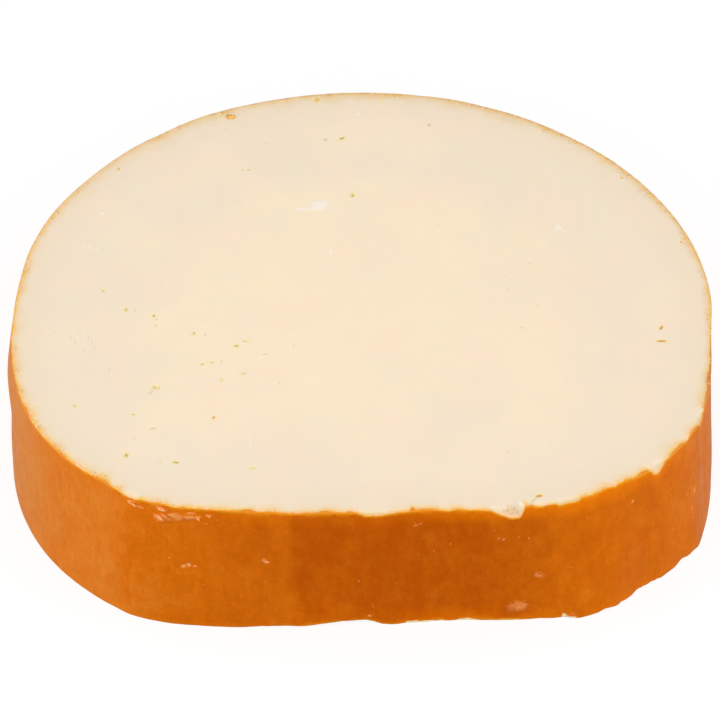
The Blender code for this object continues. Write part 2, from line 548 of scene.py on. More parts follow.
# Place, length, width and turn of each, then its tone where it isn't brown.
FACE_MARKS = (
    # The strong pair at the right.
    FaceMark(50.6, -10.0, 1.9, 0.55, 0),
    FaceMark(50.6, -6.9, 1.1, 0.6, 62),
    # Single specks left by the knife.
    FaceMark(-1.3, 24.2, 0.9, 0.8, 113, Tone.OLIVE, strength=0.95),
    FaceMark(29.6, -45.4, 1.33, 0.74, 16),
    FaceMark(-3.1, 37.85, 1.4, 0.6, 28, Tone.OLIVE, strength=0.95),
    FaceMark(-4.0, 37.4, 0.8, 0.4, 20, Tone.OLIVE, strength=0.3),
    # The trail of specks left of the middle.
    FaceMark(-20.7, -11.1, 1.01, 0.67, 11, Tone.OLIVE, strength=0.9),
    FaceMark(-19.3, -10.0, 1.09, 0.44, 164, Tone.OLIVE, strength=0.75),
    FaceMark(-26.4, -15.3, 0.78, 0.59, 16, Tone.OLIVE, strength=0.8),
    FaceMark(-24.8, -14.9, 0.86, 0.44, 16, Tone.OLIVE, strength=0.8),
    FaceMark(-23.2, -14.7, 0.7, 0.37, 0, Tone.GREY, strength=0.5),
    FaceMark(-27.9, -8.2, 0.78, 0.59, 73, Tone.OLIVE, strength=0.8),
    FaceMark(-26.0, -8.5, 0.7, 0.37, 0, Tone.GREY, strength=0.5),
    FaceMark(-34.7, -4.1, 0.86, 0.67, 100, Tone.OLIVE, strength=0.9),
    FaceMark(-34.2, -4.9, 0.5, 0.4, 0, Tone.OLIVE, strength=0.7),
    FaceMark(-34.3, -6.3, 0.5, 0.4, 59, Tone.OLIVE, strength=0.6),
    FaceMark(-39.4, -2.7, 1.01, 0.67, 91, Tone.OLIVE, strength=0.9),
    FaceMark(-34.2, -20.6, 1.9, 1.4, 10, Tone.OLIVE, strength=0.36),
    FaceMark(-34.4, -20.5, 0.7, 0.45, 10, strength=0.75),
    FaceMark(-33.6, -20.8, 0.5, 0.35, 40, strength=0.6),
    FaceMark(-34.9, -21.8, 1.09, 0.37, 60, Tone.GREY, strength=0.6),
    FaceMark(-24.4, -27.6, 0.76, 0.6, 55, strength=0.85),
    FaceMark(-47.6, -24.9, 0.94, 0.74, 134, Tone.OLIVE, strength=0.6),
    FaceMark(-38.8, -36.2, 1.09, 0.89, 86, Tone.OLIVE, strength=0.9),
    FaceMark(-30.6, -37.8, 1.33, 0.59, 174, Tone.OLIVE, strength=0.9),
    FaceMark(-17.8, -39.0, 1.4, 0.89, 0, Tone.OLIVE, strength=0.4),
    FaceMark(-23.1, -18.9, 1.17, 0.44, 110, Tone.OLIVE, strength=0.6),
    FaceMark(-19.5, -17.5, 1.09, 0.44, 0, Tone.OLIVE, strength=0.7),
    FaceMark(-16.0, -13.0, 1.25, 0.37, 0, Tone.GREY, strength=0.4),
    FaceMark(-37.8, -26.9, 0.86, 0.52, 0, Tone.OLIVE, strength=0.7),
    FaceMark(-34.4, -30.1, 1.01, 0.52, 0, Tone.GREY, strength=0.6),
    FaceMark(-53.8, -24.9, 0.62, 0.52, 0, Tone.OLIVE, strength=0.5),
    FaceMark(-43.3, 1.7, 1.01, 0.59, 30, Tone.OLIVE, strength=0.6),
    FaceMark(-41.2, 30.5, 0.7, 0.59, 75, strength=0.8),
    FaceMark(11.8, 41.1, 0.7, 0.59, 89, Tone.GREY, strength=0.9),
    FaceMark(-18.9, 30.4, 0.7, 0.59, 0, Tone.GREY, strength=0.5),
    FaceMark(-20.0, 30.4, 0.62, 0.44, 0, Tone.OLIVE, strength=0.6),
    FaceMark(-16.0, 36.8, 0.62, 0.44, 0, Tone.GREY, strength=0.5),
    FaceMark(-5.9, 37.6, 0.86, 0.59, 0, Tone.GREY, strength=0.6),
    FaceMark(54.4, 13.2, 0.78, 0.44, 138, strength=0.8),
    FaceMark(44.6, 28.5, 0.7, 0.44, 117, strength=0.8),
    FaceMark(27.2, -6.9, 0.7, 0.44, 0, Tone.GREY, strength=0.4),
    # The hair scratch by the notch.
    FaceMark(28.5, -46.6, 2.2, 0.28, 50, Tone.GREY, strength=0.9),
    # Rind stains dragged in over the far rim.
    FaceMark(-7.4, 47.2, 1.5, 1.4, 80, strength=0.72, pit=0.0),
    FaceMark(3.8, 46.7, 0.8, 0.6, 90, Tone.OLIVE, strength=0.45, pit=0.0),
    FaceMark(-23.7, 43.6, 1.5, 1.0, 20, Tone.OLIVE, strength=0.45, pit=0.0),
    FaceMark(-22.2, 43.0, 2.0, 1.5, 0, strength=0.62, pit=0.0),
    FaceMark(-13.6, 46.6, 1.3, 1.0, 10, strength=0.4, pit=0.0),
)

# Knife scratches that show as short grey lines across the left of the face: place and length.
SCRATCH_TURN = 92.0
SCRATCHES = (
    (-48.6, -9.0, 1.5),
    (-47.8, -10.0, 1.8),
    (-47.0, -8.6, 1.5),
    (-45.6, -9.2, 1.3),
    (-45.0, -10.4, 1.6),
    (-44.5, -11.6, 1.3),
    (-46.2, -12.4, 1.3),
    (-42.0, -16.5, 1.5),
    (-41.1, -16.9, 1.2),
    (-13.4, -19.7, 1.3),
    (-11.1, -10.7, 1.4),
    (24.9, 2.0, 1.1),
    (-33.2, -37.6, 1.2),
)

# White smears of paste: rubbed places, their soft sheen painted in as a paler colour.
SMEARS = (
    FaceMark(-6.9, 21.8, 2.7, 2.2, 0, strength=0.9, pit=-0.05, squareness=4.0),
    FaceMark(-6.2, 22.4, 1.5, 1.3, 0, pit=-0.02),
    FaceMark(-9.6, 20.9, 3.2, 0.9, 4, strength=0.8, pit=-0.04),
    FaceMark(-10.8, 21.1, 0.7, 0.5, 0, pit=-0.04),
    FaceMark(33.6, 16.6, 1.3, 1.0, 120, pit=-0.04),
    FaceMark(34.5, 15.7, 2.0, 0.4, 130, strength=0.7, pit=-0.03),
    FaceMark(32.9, 15.9, 1.4, 0.3, 60, strength=0.6, pit=-0.03),
    FaceMark(33.4, 17.9, 1.8, 0.3, 85, strength=0.5, pit=-0.02),
    FaceMark(-5.0, 11.0, 1.7, 0.6, 90, strength=0.9, pit=-0.03),
    FaceMark(-5.4, 15.4, 1.2, 0.25, 140, strength=0.8, pit=-0.02),
    FaceMark(-43.7, 19.8, 0.8, 0.7, 0, strength=0.9, pit=-0.02),
    FaceMark(-23.1, 38.6, 0.6, 0.5, 0, strength=0.9, pit=-0.02),
    FaceMark(-0.35, 43.7, 0.7, 0.7, 0, pit=-0.03),
    FaceMark(-46.9, 12.4, 1.6, 0.35, 115, strength=0.8, pit=-0.02),
    FaceMark(-45.8, 12.0, 1.6, 0.35, 65, strength=0.8, pit=-0.02),
    FaceMark(-44.5, 11.3, 1.6, 0.35, 115, strength=0.7, pit=-0.02),
    FaceMark(-18.3, -33.4, 9.5, 0.6, 90, strength=0.4, pit=0.0),
    FaceMark(-49.0, -9.6, 1.5, 0.4, 96, strength=0.5, pit=0.0),
    FaceMark(-47.4, -9.2, 1.7, 0.4, 94, strength=0.6, pit=0.0),
    FaceMark(-46.3, -9.8, 1.4, 0.4, 92, strength=0.5, pit=0.0),
    FaceMark(-45.3, -11.2, 1.8, 0.4, 94, strength=0.6, pit=0.0),
    FaceMark(-44.1, -12.4, 1.6, 0.4, 92, strength=0.5, pit=0.0),
    FaceMark(-46.9, -13.4, 1.5, 0.4, 98, strength=0.4, pit=0.0),
    FaceMark(-41.6, -17.4, 1.3, 0.4, 92, strength=0.5, pit=0.0),
)

# Bearing and height of each spot, then how far it spans across and up, in millimetres.
WALL_SPOTS = (
    # Film peeled from under the front-left rim, its pale colour partly a painted highlight, with painted
    # shade in the groove along the rim and in the lines between and under the flakes.
    WallSpot(-131.7, 26.9, 1.5, 0.9, proud=0.12, peel=1.0),
    WallSpot(-130.3, 26.5, 2.0, 0.5, proud=0.10, peel=1.0, turn=-8),
    WallSpot(-126.5, 27.35, 2.4, 0.7, proud=0.12, peel=1.0, turn=-20),
    WallSpot(-126.4, 25.2, 3.6, 2.1, proud=0.12, peel=0.62, turn=6),
    WallSpot(-124.2, 26.0, 3.2, 1.9, proud=0.12, peel=0.66),
    WallSpot(-122.0, 26.3, 2.8, 1.4, proud=0.20, peel=0.64),
    WallSpot(-125.0, 26.3, 1.6, 0.35, proud=0.10, peel=0.9, turn=24),
    WallSpot(-121.8, 27.2, 1.6, 0.45, proud=0.10, peel=0.9),
    WallSpot(-120.6, 26.2, 1.3, 0.6, proud=0.10, peel=0.9, turn=50),
    WallSpot(-118.9, 26.9, 1.2, 0.45, proud=0.08, peel=0.9, turn=8),
    WallSpot(-119.3, 24.9, 0.4, 0.9, proud=0.06, peel=0.7),
    WallSpot(-117.5, 26.0, 0.6, 0.7, proud=0.06, peel=0.6),
    WallSpot(-134.0, 27.5, 0.9, 0.7, proud=-0.10, soot=0.5),
    WallSpot(-131.9, 27.5, 3.4, 0.35, proud=-0.16, soot=0.55),
    WallSpot(-128.9, 27.3, 1.6, 0.35, proud=-0.12, soot=0.4, turn=-6),
    WallSpot(-126.0, 27.85, 2.4, 0.35, proud=-0.12, soot=0.5, turn=-4),
    WallSpot(-122.7, 27.6, 1.2, 0.4, proud=-0.10, soot=0.4),
    WallSpot(-125.6, 25.9, 2.4, 0.30, proud=-0.15, soot=0.7, turn=-38),
    WallSpot(-125.0, 24.3, 2.4, 0.35, proud=-0.12, soot=0.4, turn=12),
    # Dents and small patches whose pale film colour is a painted highlight over the relief, with painted
    # shade under the first dent.
    WallSpot(-122.9, 14.4, 1.0, 0.7, proud=-0.16, peel=1.0, turn=20),
    WallSpot(-122.1, 14.8, 0.9, 1.0, proud=-0.16, peel=1.0),
    WallSpot(-121.1, 14.7, 0.8, 0.5, proud=-0.12, peel=0.9),
    WallSpot(-122.0, 13.6, 1.6, 0.5, proud=-0.15, soot=0.4),
    WallSpot(-108.9, 16.3, 1.7, 0.45, proud=0.10, peel=1.0, turn=-24),
    WallSpot(-51.9, 0.9, 1.4, 1.5, peel=0.50),
    WallSpot(-60.0, 3.7, 3.9, 3.1, proud=0.12, peel=0.60, turn=6),
    WallSpot(-61.3, 2.9, 1.6, 1.2, proud=0.06, peel=0.45),
    WallSpot(-56.7, 11.0, 2.3, 1.9, proud=0.08, peel=0.50),
    WallSpot(-79.2, 24.8, 1.5, 0.4, proud=0.08, peel=0.85, turn=22),
    WallSpot(-78.2, 25.2, 0.6, 0.5, proud=0.06, peel=0.7, turn=50),
    WallSpot(-41.0, 22.8, 0.6, 1.0, proud=0.08, peel=0.95, turn=-20),
    WallSpot(-27.5, 14.7, 0.8, 2.0, proud=0.08, peel=0.8),
    WallSpot(-20.5, 26.5, 0.7, 0.6, proud=0.10, peel=0.8),
    # The crease at the right corner: a line of painted shade along it and pale streaks of painted sheen
    # beside it.
    WallSpot(-25.8, 20.0, 0.5, 15.0, proud=-0.05, soot=0.38),
    WallSpot(-24.2, 16.0, 1.0, 18.0, proud=0.04, peel=0.34),
    WallSpot(-28.4, 12.0, 1.4, 11.0, peel=0.30),
    # Small bright flecks: painted glints on small raised bumps.
    WallSpot(-62.9, 20.8, 0.6, 0.5, proud=0.06, peel=0.9),
    WallSpot(-60.3, 21.2, 0.5, 0.4, proud=0.06, peel=0.7),
    WallSpot(-58.6, 20.6, 0.5, 0.5, proud=0.06, peel=0.8),
    WallSpot(-90.7, 11.2, 0.5, 0.5, proud=0.06, peel=0.7),
    WallSpot(-61.8, 10.9, 0.5, 0.4, proud=0.05, peel=0.7),
    WallSpot(-75.5, 18.0, 0.4, 0.6, proud=0.05, peel=0.6),
    WallSpot(-39.2, 6.1, 0.5, 0.6, proud=0.06, peel=0.7),
    WallSpot(-113.5, 7.7, 0.5, 0.6, proud=0.05, peel=0.6),
    WallSpot(-88.5, 2.3, 1.0, 0.6, proud=0.08, peel=0.8),
)

# Runs of the base's edge where the rind has come away from the paste: start, end and height.
BARE_RUNS = (
    (-90.5, -85.9, 0.25 * MM),
    (-81.4, -66.0, 0.62 * MM),
    (-53.6, -50.9, 1.1 * MM),
)


@dataclass(frozen=True)
class Scatter:
    """Faint random specks or flecks that fill in between the listed ones.

    A share of the specks is moved to the left, and all keep inside the rim.
    """

    seed: int
    count: int
    moved: float = 0.6
    move: float = -9.0
    inside: float = 0.97
    grey: float = 0.6

    def specks(self, form: "SliceForm") -> list[FaceMark]:
        """Draws faint specks on the upper face, more of them at the left.

        Args:
            form: The slice's form.

        Returns:
            The specks.
        """
        rng = np.random.default_rng(self.seed)
        marks = []
        for _ in range(self.count):
            bearing, share = rng.uniform(-180, 180), rng.uniform(0.1, 0.93) ** 0.5
            reach = float(form.outline(np.array([bearing]))[0]) * share / MM
            shift = self.move if rng.uniform() < self.moved else 0.0
            x = (reach * cos(radians(bearing)) + shift) * self.inside
            y = reach * sin(radians(bearing)) * self.inside + form.middle[1] / MM
            length, width, turn = rng.uniform(0.35, 0.9), rng.uniform(0.3, 0.45), rng.uniform(0, 180)
            tone = Tone.GREY if rng.uniform() < self.grey else Tone.OLIVE
            strength = rng.uniform(0.15, 0.45)
            marks.append(FaceMark(x, y, length, width, turn, tone, strength, pit=0.05))
        return marks

    def flecks(self) -> list[WallSpot]:
        """Draws small bright flecks all round the rind: painted glints on small bumps and dents.

        Returns:
            The flecks.
        """
        rng = np.random.default_rng(self.seed + 1)
        return [
            WallSpot(
                bearing=rng.uniform(-180, 180),
                height=rng.uniform(2, 26),
                across=rng.uniform(0.3, 0.7),
                tall=rng.uniform(0.3, 0.9),
                proud=rng.uniform(-0.08, 0.08),
                peel=rng.uniform(0.2, 0.7),
            )
            for _ in range(self.count)
        ]


@dataclass(frozen=True)
class SliceForm:
    """The slice's shape: where each point of a plain drum ends up."""

    width: float = 117.3 * MM
    back_reach: float = 51.5 * MM
    front_reach: float = 46.9 * MM
    back_squareness: float = 2.0
    front_squareness: float = 3.15
    middle: tuple[float, float] = (0.394 * MM, -2.327 * MM)
    edge_round: float = 0.18 * MM
    rim_sag: float = 0.10 * MM
    rim_sag_reach: float = 0.9 * MM
    wall_sag_power: int = 40
    rim_tooth: Raggedness = Raggedness(-40, 26, 0.05 * MM, 0.17 * MM)
    base_lobe: Raggedness = Raggedness(-31, 17, 0.06 * MM, 0.26 * MM)
    base_step: Raggedness = Raggedness(-31, 17, 0.02 * MM, 0.22 * MM)
    least_inset: float = 0.35 * MM
    base_break: float = 1.3
    relief_fade: float = 0.06
    thickness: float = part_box(NODE)[1].z

    def outline(self, bearing: np.ndarray) -> np.ndarray:
        """Draws the plain outline: an ellipse behind the widest line, a squarer curve before it.

        Args:
            bearing: Degrees round the slice.

        Returns:
            How far the outline lies from the middle of the widest line.
        """
        across = np.abs(np.cos(np.radians(bearing))) / (self.width / 2)
        along = np.sin(np.radians(bearing))
        reach = np.where(along >= 0, self.back_reach, self.front_reach)
        square = np.where(along >= 0, self.back_squareness, self.front_squareness)
        return (across**square + np.abs(along / reach) ** square) ** (-1 / square)

    def wall_reach(self, bearing: np.ndarray, height: np.ndarray) -> np.ndarray:
        """Gives how far the wall lies out, with its swellings, at shares of its height."""
        return self.outline(bearing) + sum(swell.at(bearing, height) for swell in SWELLS)

    def spot_at(self, bearing: float, reach: float, level: float) -> Vector:
        """Gives the place at a bearing, a reach and a level."""
        way = radians(bearing)
        return Vector((self.middle[0] + reach * cos(way), self.middle[1] + reach * sin(way), level))

    def rim_rag(self, bearing: np.ndarray) -> np.ndarray:
        """Gives the depth of the rim's small uneven teeth, mostly at the front right."""
        broad, fine = (noise.at(bearing) for noise in RIM_TEETH)
        return self.rim_tooth.size(bearing) * (broad + 0.7 * fine + 0.2)

    def base_rag(self, bearing: np.ndarray) -> np.ndarray:
        """Cuts small scallops and steps in the base's edge, mostly at the front right.

        Args:
            bearing: Degrees round the slice.

        Returns:
            Their height.
        """
        broad, fine = (np.abs(noise.at(bearing)) for noise in BASE_LOBES)
        steps = np.maximum(0.0, BASE_STEPS.at(bearing) - 0.1)
        return self.base_lobe.size(bearing) * (broad + 0.4 * fine) + self.base_step.size(bearing) * steps

    def chipping(self, chips: tuple[EdgeChip, ...], bearing: np.ndarray) -> tuple[np.ndarray, ...]:
        """Adds up the chips of an edge.

        Args:
            chips: The chips.
            bearing: Degrees round the slice.

        Returns:
            How deep the edge is chipped, how far in the break starts, and how torn it is.
        """
        depth, torn = np.zeros((2, len(bearing)))
        inset = np.full_like(bearing, self.least_inset)
        for chip in chips:
            share = chip.share(bearing)
            depth += chip.depth * share
            inset = np.maximum(inset, chip.inset * share)
            torn = np.maximum(torn, chip.torn * share)
        return depth, inset, torn

    def rim_drop(self, bearing: np.ndarray) -> tuple[np.ndarray, ...]:
        """Gives how far the rim lies under the face, how far in that starts, and how torn it is."""
        depth, inset, torn = self.chipping(RIM_CHIPS, bearing)
        return np.maximum(0.0, depth + self.rim_rag(bearing)), inset, torn

    def base_lift(self, bearing: np.ndarray) -> tuple[np.ndarray, ...]:
        """Lifts the base's edge off the floor where it is chipped or ragged.

        Args:
            bearing: Degrees round the slice.

        Returns:
            How far the edge lies over the floor, and how far in that starts.
        """
        depth, inset, _ = self.chipping(BASE_CHIPS, bearing)
        lift = np.maximum(0.0, depth + self.base_rag(bearing))
        return lift, np.maximum(inset, self.base_break * lift)

    def rind_relief(self, bearing: np.ndarray, height: np.ndarray) -> np.ndarray:
        """Makes the rind's own unevenness: broad waves, fine upright streaks and grain.

        Args:
            bearing: Degrees round the slice.
            height: Shares of the wall's height.

        Returns:
            How far the rind stands out.
        """
        waves = 0.10 * RIND_WAVES.at(bearing, height)
        streaks = 0.016 * RIND_STREAKS.at(bearing, height)
        grain = 0.008 * RIND_GRAIN.at(bearing, height)
        from_edge = np.minimum(height, 1 - height) / self.relief_fade
        return (waves + streaks + grain) * MM * ease(from_edge)


@dataclass
class Shape:
    """Points of the slice: where they lie on the plain drum, and where they end up.

    Skin is how far in from the rim a point of a cut face lies, in millimetres,
    and below zero how far from the nearer edge a point of the wall lies. Steep
    is the slope that a chip gives a point, and torn how rough the paste is.
    """

    bearing: np.ndarray
    share: np.ndarray
    height: np.ndarray
    place: np.ndarray
    skin: np.ndarray
    steep: np.ndarray
    torn: np.ndarray

    def flat(self) -> tuple[np.ndarray, np.ndarray]:
        """Gives the places along the width and the depth, in millimetres."""
        return self.place[:, 0] / MM, self.place[:, 1] / MM

    def level(self) -> np.ndarray:
        """Gives the heights over the floor, in millimetres."""
        return self.place[:, 2] / MM

    def on_top(self) -> np.ndarray:
        """Tells which points belong to the upper face."""
        return self.height > TOP_FROM

    def on_open_wall(self) -> np.ndarray:
        """Tells which points lie between the edges of the wall."""
        return (self.height > OPEN_WALL[0]) & (self.height < OPEN_WALL[1])

    def around(self, bearing: float) -> np.ndarray:
        """Gives the distance along the wall from a bearing, in millimetres."""
        reach = np.hypot(self.place[:, 0], self.place[:, 1]) / MM
        return np.radians(turn_between(self.bearing, bearing)) * reach


@dataclass
class CheeseSlice:
    """The whole slice as one closed mesh: both cut faces and the rind."""

    form: SliceForm
    name: str = "cheese_slice"
    rings: int = 96
    crowding: float = 0.25
    first_ring: float = 0.1 * MM
    ring_growth: float = 1.09
    widest_ring: float = 0.75 * MM
    wall_rows: int = 46
    row_crowding: float = 0.85
    base_rings: tuple[float, ...] = (0.15 * MM, 0.3 * MM, 0.5 * MM, 1.0 * MM, 3.0 * MM)
    face_cuts: int = 3
    wall_cuts: int = 2
    rim_clear: float = 1.2
    mark_margin: float = 0.2
    spot_margin: float = 0.3
    chip_slope: float = 3.0
    torn_from: float = 0.3 * MM
    full_chip: float = 0.5 * MM
    scratch_width: float = 0.38
    specks: Scatter = Scatter(seed=5, count=34)
    flecks: Scatter = Scatter(seed=8, count=44)

    def __post_init__(self) -> None:
        """Gathers the marks of the face and the spots of the wall."""
        scratches = [
            FaceMark(x, y, length, self.scratch_width, SCRATCH_TURN, Tone.GREY, strength=0.30, pit=0.04)
            for x, y, length in SCRATCHES
        ]
        self.marks = [*FACE_MARKS, *scratches, *self.specks.specks(self.form)]
        self.spots = [*WALL_SPOTS, *self.flecks.flecks()]

    def ring_shares(self) -> np.ndarray:
        """Spaces the rings of the upper face, close together near the rim.

        Returns:
            The share of the radius of each ring, from the middle out.
        """
        steps = self.first_ring * self.ring_growth ** np.arange(self.rings)
        inward = np.cumsum(np.minimum(steps, self.widest_ring))
        return np.concatenate(([0.0], (1 - inward / inward[-1])[::-1][1:], [1.0]))

    def disc(self) -> bmesh.types.BMesh:
        """Makes the upper face: a square grid drawn out to a round disc of unit radius.

        Returns:
            The disc, one unit up.
        """
        drum = bmesh.new()
        bmesh.ops.create_grid(drum, x_segments=2 * self.rings, y_segments=2 * self.rings, size=1.0)
        shares = self.ring_shares()
        even = np.linspace(0.0, 1.0, self.rings + 1)
        for vert in drum.verts:
            x, y = vert.co.x, vert.co.y
            if abs(x) > abs(y):
                out, turn = x, pi / 4 * y / x
            elif y != 0:
                out, turn = y, pi / 2 - pi / 4 * x / y
            else:
                out = turn = 0.0
            if out < 0:
                out, turn = -out, turn + pi
            turn -= self.crowding * cos(turn)
            share = float(np.interp(out, even, shares))
            vert.co = (share * cos(turn), share * sin(turn), 1.0)
        return drum

    def drum(self) -> bmesh.types.BMesh:
        """Draws the disc down to a closed drum with rows up its wall and rings on its base.

        Returns:
            The drum, of unit radius and height.
        """
        drum = self.disc()
        rim = [edge for edge in drum.edges if edge.is_boundary]
        drawn = bmesh.ops.extrude_edge_only(drum, edges=rim)["geom"]
        lower = [item for item in drawn if isinstance(item, bmesh.types.BMVert)]
        bmesh.ops.translate(drum, verts=lower, vec=(0, 0, -1))
        foot = [edge for edge in drum.edges if edge.is_boundary]
        base = bmesh.ops.holes_fill(drum, edges=foot, sides=0)["faces"]
        for ring in self.base_rings:
            inset = ring / (self.form.width / 2)
            bmesh.ops.inset_region(drum, faces=base, thickness=inset, use_boundary=True, use_even_offset=True)
        bmesh.ops.poke(drum, faces=base)
        uprights = [edge for edge in drum.edges if edge.verts[0].co.z != edge.verts[1].co.z]
        bmesh.ops.subdivide_edges(drum, edges=uprights, cuts=self.wall_rows - 1, use_grid_fill=True)
        for vert in drum.verts:
            vert.co.z -= self.row_crowding * sin(2 * pi * vert.co.z) / (2 * pi)
        bmesh.ops.recalc_face_normals(drum, faces=drum.faces)
        drum.normal_update()
        for face in drum.faces:
            level = abs(face.normal.z) > abs(face.normal.x) + abs(face.normal.y)
            face.material_index = (Part.PASTE if level else Part.RIND).value
        return drum

    def refine(self, drum: bmesh.types.BMesh) -> None:
        """Cuts the faces under marks and spots into smaller ones.

        Args:
            drum: The drum, which is changed.
        """
        faces = list(drum.faces)
        shape = self.shaped(np.array([face.calc_center_median() for face in faces]))
        x, y = shape.flat()
        on_face = shape.on_top() & (shape.skin > self.rim_clear)
        fine_face = np.zeros(len(faces), bool)
        for mark in [*self.marks, *SMEARS]:
            reach = max(mark.length, mark.width) / 2 + self.mark_margin
            fine_face |= on_face & (np.hypot(x - mark.x, y - mark.y) < reach)
        fine_wall = np.zeros(len(faces), bool)
        for spot in self.spots:
            beside = np.abs(shape.around(spot.bearing)) < spot.across / 2 + self.spot_margin
            level_with = np.abs(shape.level() - spot.height) < spot.tall / 2 + self.spot_margin
            fine_wall |= shape.on_open_wall() & beside & level_with
        for chosen, cuts in ((fine_face, self.face_cuts), (fine_wall, self.wall_cuts)):
            edges = dict.fromkeys(edge for index in np.flatnonzero(chosen) for edge in faces[index].edges)
            bmesh.ops.subdivide_edges(drum, edges=list(edges), cuts=cuts, use_grid_fill=True)

    def shaped(self, points: np.ndarray) -> Shape:
        """Moves points of the drum to the slice's shape, without its marks and spots.

        Args:
            points: Points of the drum, of unit radius and height.

        Returns:
            The points' places.
        """
        form = self.form
        share = np.hypot(points[:, 0], points[:, 1])
        on_wall = share > 1 - self.first_ring / form.width
        share = np.where(on_wall, 1.0, share)
        bearing = np.degrees(np.arctan2(points[:, 1], points[:, 0]))
        height = np.clip(np.round(points[:, 2], HEIGHT_DIGITS), 0.0, 1.0)
        reach = form.wall_reach(bearing, height)
        inset = (1 - share) * reach
        drop, rim_inset, torn = form.rim_drop(bearing)
        lift, base_inset = form.base_lift(bearing)
        low, high = lift, form.thickness - drop
        rim_fade = 1 - ease(inset / rim_inset)
        base_fade = 1 - ease(inset / base_inset)
        sag = form.rim_sag * np.exp(-inset / form.rim_sag_reach)
        upper = height > MID_HEIGHT
        level = np.where(on_wall, low + (high - low) * height, 0.0)
        level = np.where(~on_wall & upper, form.thickness - drop * rim_fade - sag, level)
        level = np.where(~on_wall & ~upper, lift * base_fade, level)
        level = np.where(on_wall, level - form.rim_sag * height**form.wall_sag_power, level)
        out = reach - inset + np.where(on_wall, form.rind_relief(bearing, height), 0.0)

        # Each edge turns over a small round: the outermost ring and row lie on it.
        below = np.where(on_wall, (1 - height) * (high - low), 0.0)
        above = np.where(on_wall, height * (high - low), 0.0)
        rounding = form.edge_round
        for near, half, edge_sign in ((below, upper, 1.0), (above, ~upper, -1.0)):
            along = np.where(on_wall, -near, inset) / rounding
            inside = half & (np.abs(along) < 1.0)
            slope = np.radians(45.0) * (1.0 - along)
            edge_level = np.where(on_wall, level + edge_sign * near, level)
            round_out = reach - rounding + rounding * np.sin(slope)
            round_level = edge_level - edge_sign * rounding * (1 - np.cos(slope))
            out = np.where(inside, round_out, out)
            level = np.where(inside, round_level, level)

        skin = np.where(on_wall, -np.minimum(below, above), inset) / MM
        ways = np.radians(bearing)
        flat = [form.middle[0] + out * np.cos(ways), form.middle[1] + out * np.sin(ways)]
        place = np.stack([*flat, level], axis=1)
        part = np.clip(inset / rim_inset, 0.0, 1.0)
        steep = np.clip(self.chip_slope * part * (1.0 - part) * drop / rim_inset, 0.0, 1.0)
        rough = torn * np.where(upper, rim_fade, 0.0) * (drop > self.torn_from)
        return Shape(bearing, share, height, place, skin, steep, rough)

    def carve_face(self, shape: Shape, fields: dict[str, np.ndarray]) -> None:
        """Sinks the marks into the upper face and lays the smears on it.

        Args:
            shape: The points, which are changed.
            fields: The painted fields, to which stain, tone and the smears' painted sheen are added.
        """
        x, y = shape.flat()
        upper = shape.on_top() & (shape.share < 1)
        stain, sunk, scuff = np.zeros((3, len(x)))
        tone = np.full(len(x), Tone.GREY.value)
        for mark in self.marks:
            near = np.flatnonzero(upper & mark.near(x, y))
            close = mark.closeness(x[near], y[near])
            strong = close * mark.strength
            stronger = strong > stain[near]
            tone[near[stronger]] = mark.tone.value
            stain[near] = np.maximum(stain[near], strong)
            sunk[near] += mark.pit * close**2
        for smear in SMEARS:
            near = np.flatnonzero(upper & smear.near(x, y))
            close = smear.closeness(x[near], y[near])
            # Rubbed smears, painted paler as a sheen.
            scuff[near] = np.maximum(scuff[near], close * smear.strength)
            sunk[near] += smear.pit * close
        shape.place[:, 2] -= sunk * MM
        fields.update(stain=stain, tone=tone, scuff=scuff)

    def carve_wall(self, shape: Shape, fields: dict[str, np.ndarray]) -> None:
        """Raises the blisters of the rind and sinks its dents.

        Args:
            shape: The points, which are changed.
            fields: The painted fields, to which the pale film colour with its painted highlights and the
                painted shade of grooves, creases and gaps are added.
        """
        wall = (shape.share == 1) & shape.on_open_wall()
        level = shape.level()
        proud, peel, soot = np.zeros((3, len(level)))
        crinkle = 0.85 + 0.22 * CRINKLES.at(shape.bearing, shape.height)
        for spot in self.spots:
            turn = np.abs(turn_between(shape.bearing, spot.bearing))
            near = np.flatnonzero(wall & (turn < spot.across + 2.0))
            close = spot.closeness(shape.around(spot.bearing)[near], level[near])
            proud[near] += spot.proud * close * crinkle[near]
            peel[near] = np.maximum(peel[near], spot.peel * close * crinkle[near])
            soot[near] = np.maximum(soot[near], spot.soot * close)
        ways = np.radians(shape.bearing)
        shape.place[:, 0] += proud * MM * np.cos(ways)
        shape.place[:, 1] += proud * MM * np.sin(ways)
        fields.update(peel=np.clip(peel, 0.0, 1.0), soot=soot)

    def laps(self, bearing: np.ndarray) -> np.ndarray:
        """Laps the rind over the upper edge in teeth.

        Args:
            bearing: Degrees round the slice.

        Returns:
            How far in the rind reaches, in millimetres.
        """
        jagged = 0.4 + 0.6 * run_between(bearing, -160, -10, 20, 15)
        broad, fine = (noise.at(bearing) for noise in LAP_TEETH)
        lap = jagged * (0.11 * broad + 0.06 * fine)
        for tooth, spread, reach in RIND_LAPS:
            lap = np.maximum(lap, reach / MM * hump(bearing, tooth, spread, power=3))
        return lap

    def clumps(self, bearing: np.ndarray) -> np.ndarray:
        """Gathers the gritty clumps of stain along the rim.

        Args:
            bearing: Degrees round the slice.

        Returns:
            How strong they are, from 0 to 1.
        """
        clump = np.zeros_like(bearing)
        for middle, spread, strength in STAIN_CLUMPS:
            clump = np.maximum(clump, strength * hump(bearing, middle, spread))
        return clump

    def smoked(self, shape: Shape) -> np.ndarray:
        """Works out how dark the smoke has made the rind.

        Args:
            shape: The points.

        Returns:
            The darkness, from 0 to 1.
        """
        depth = between_stops(SMOKE, "depth", shape.bearing)
        slant = between_stops(SMOKE, "slant", shape.bearing) * (MID_HEIGHT - shape.height)
        return np.clip(depth + slant + 0.04 * SMOKE_SWAY.at(shape.bearing, shape.height), 0.0, 1.0)

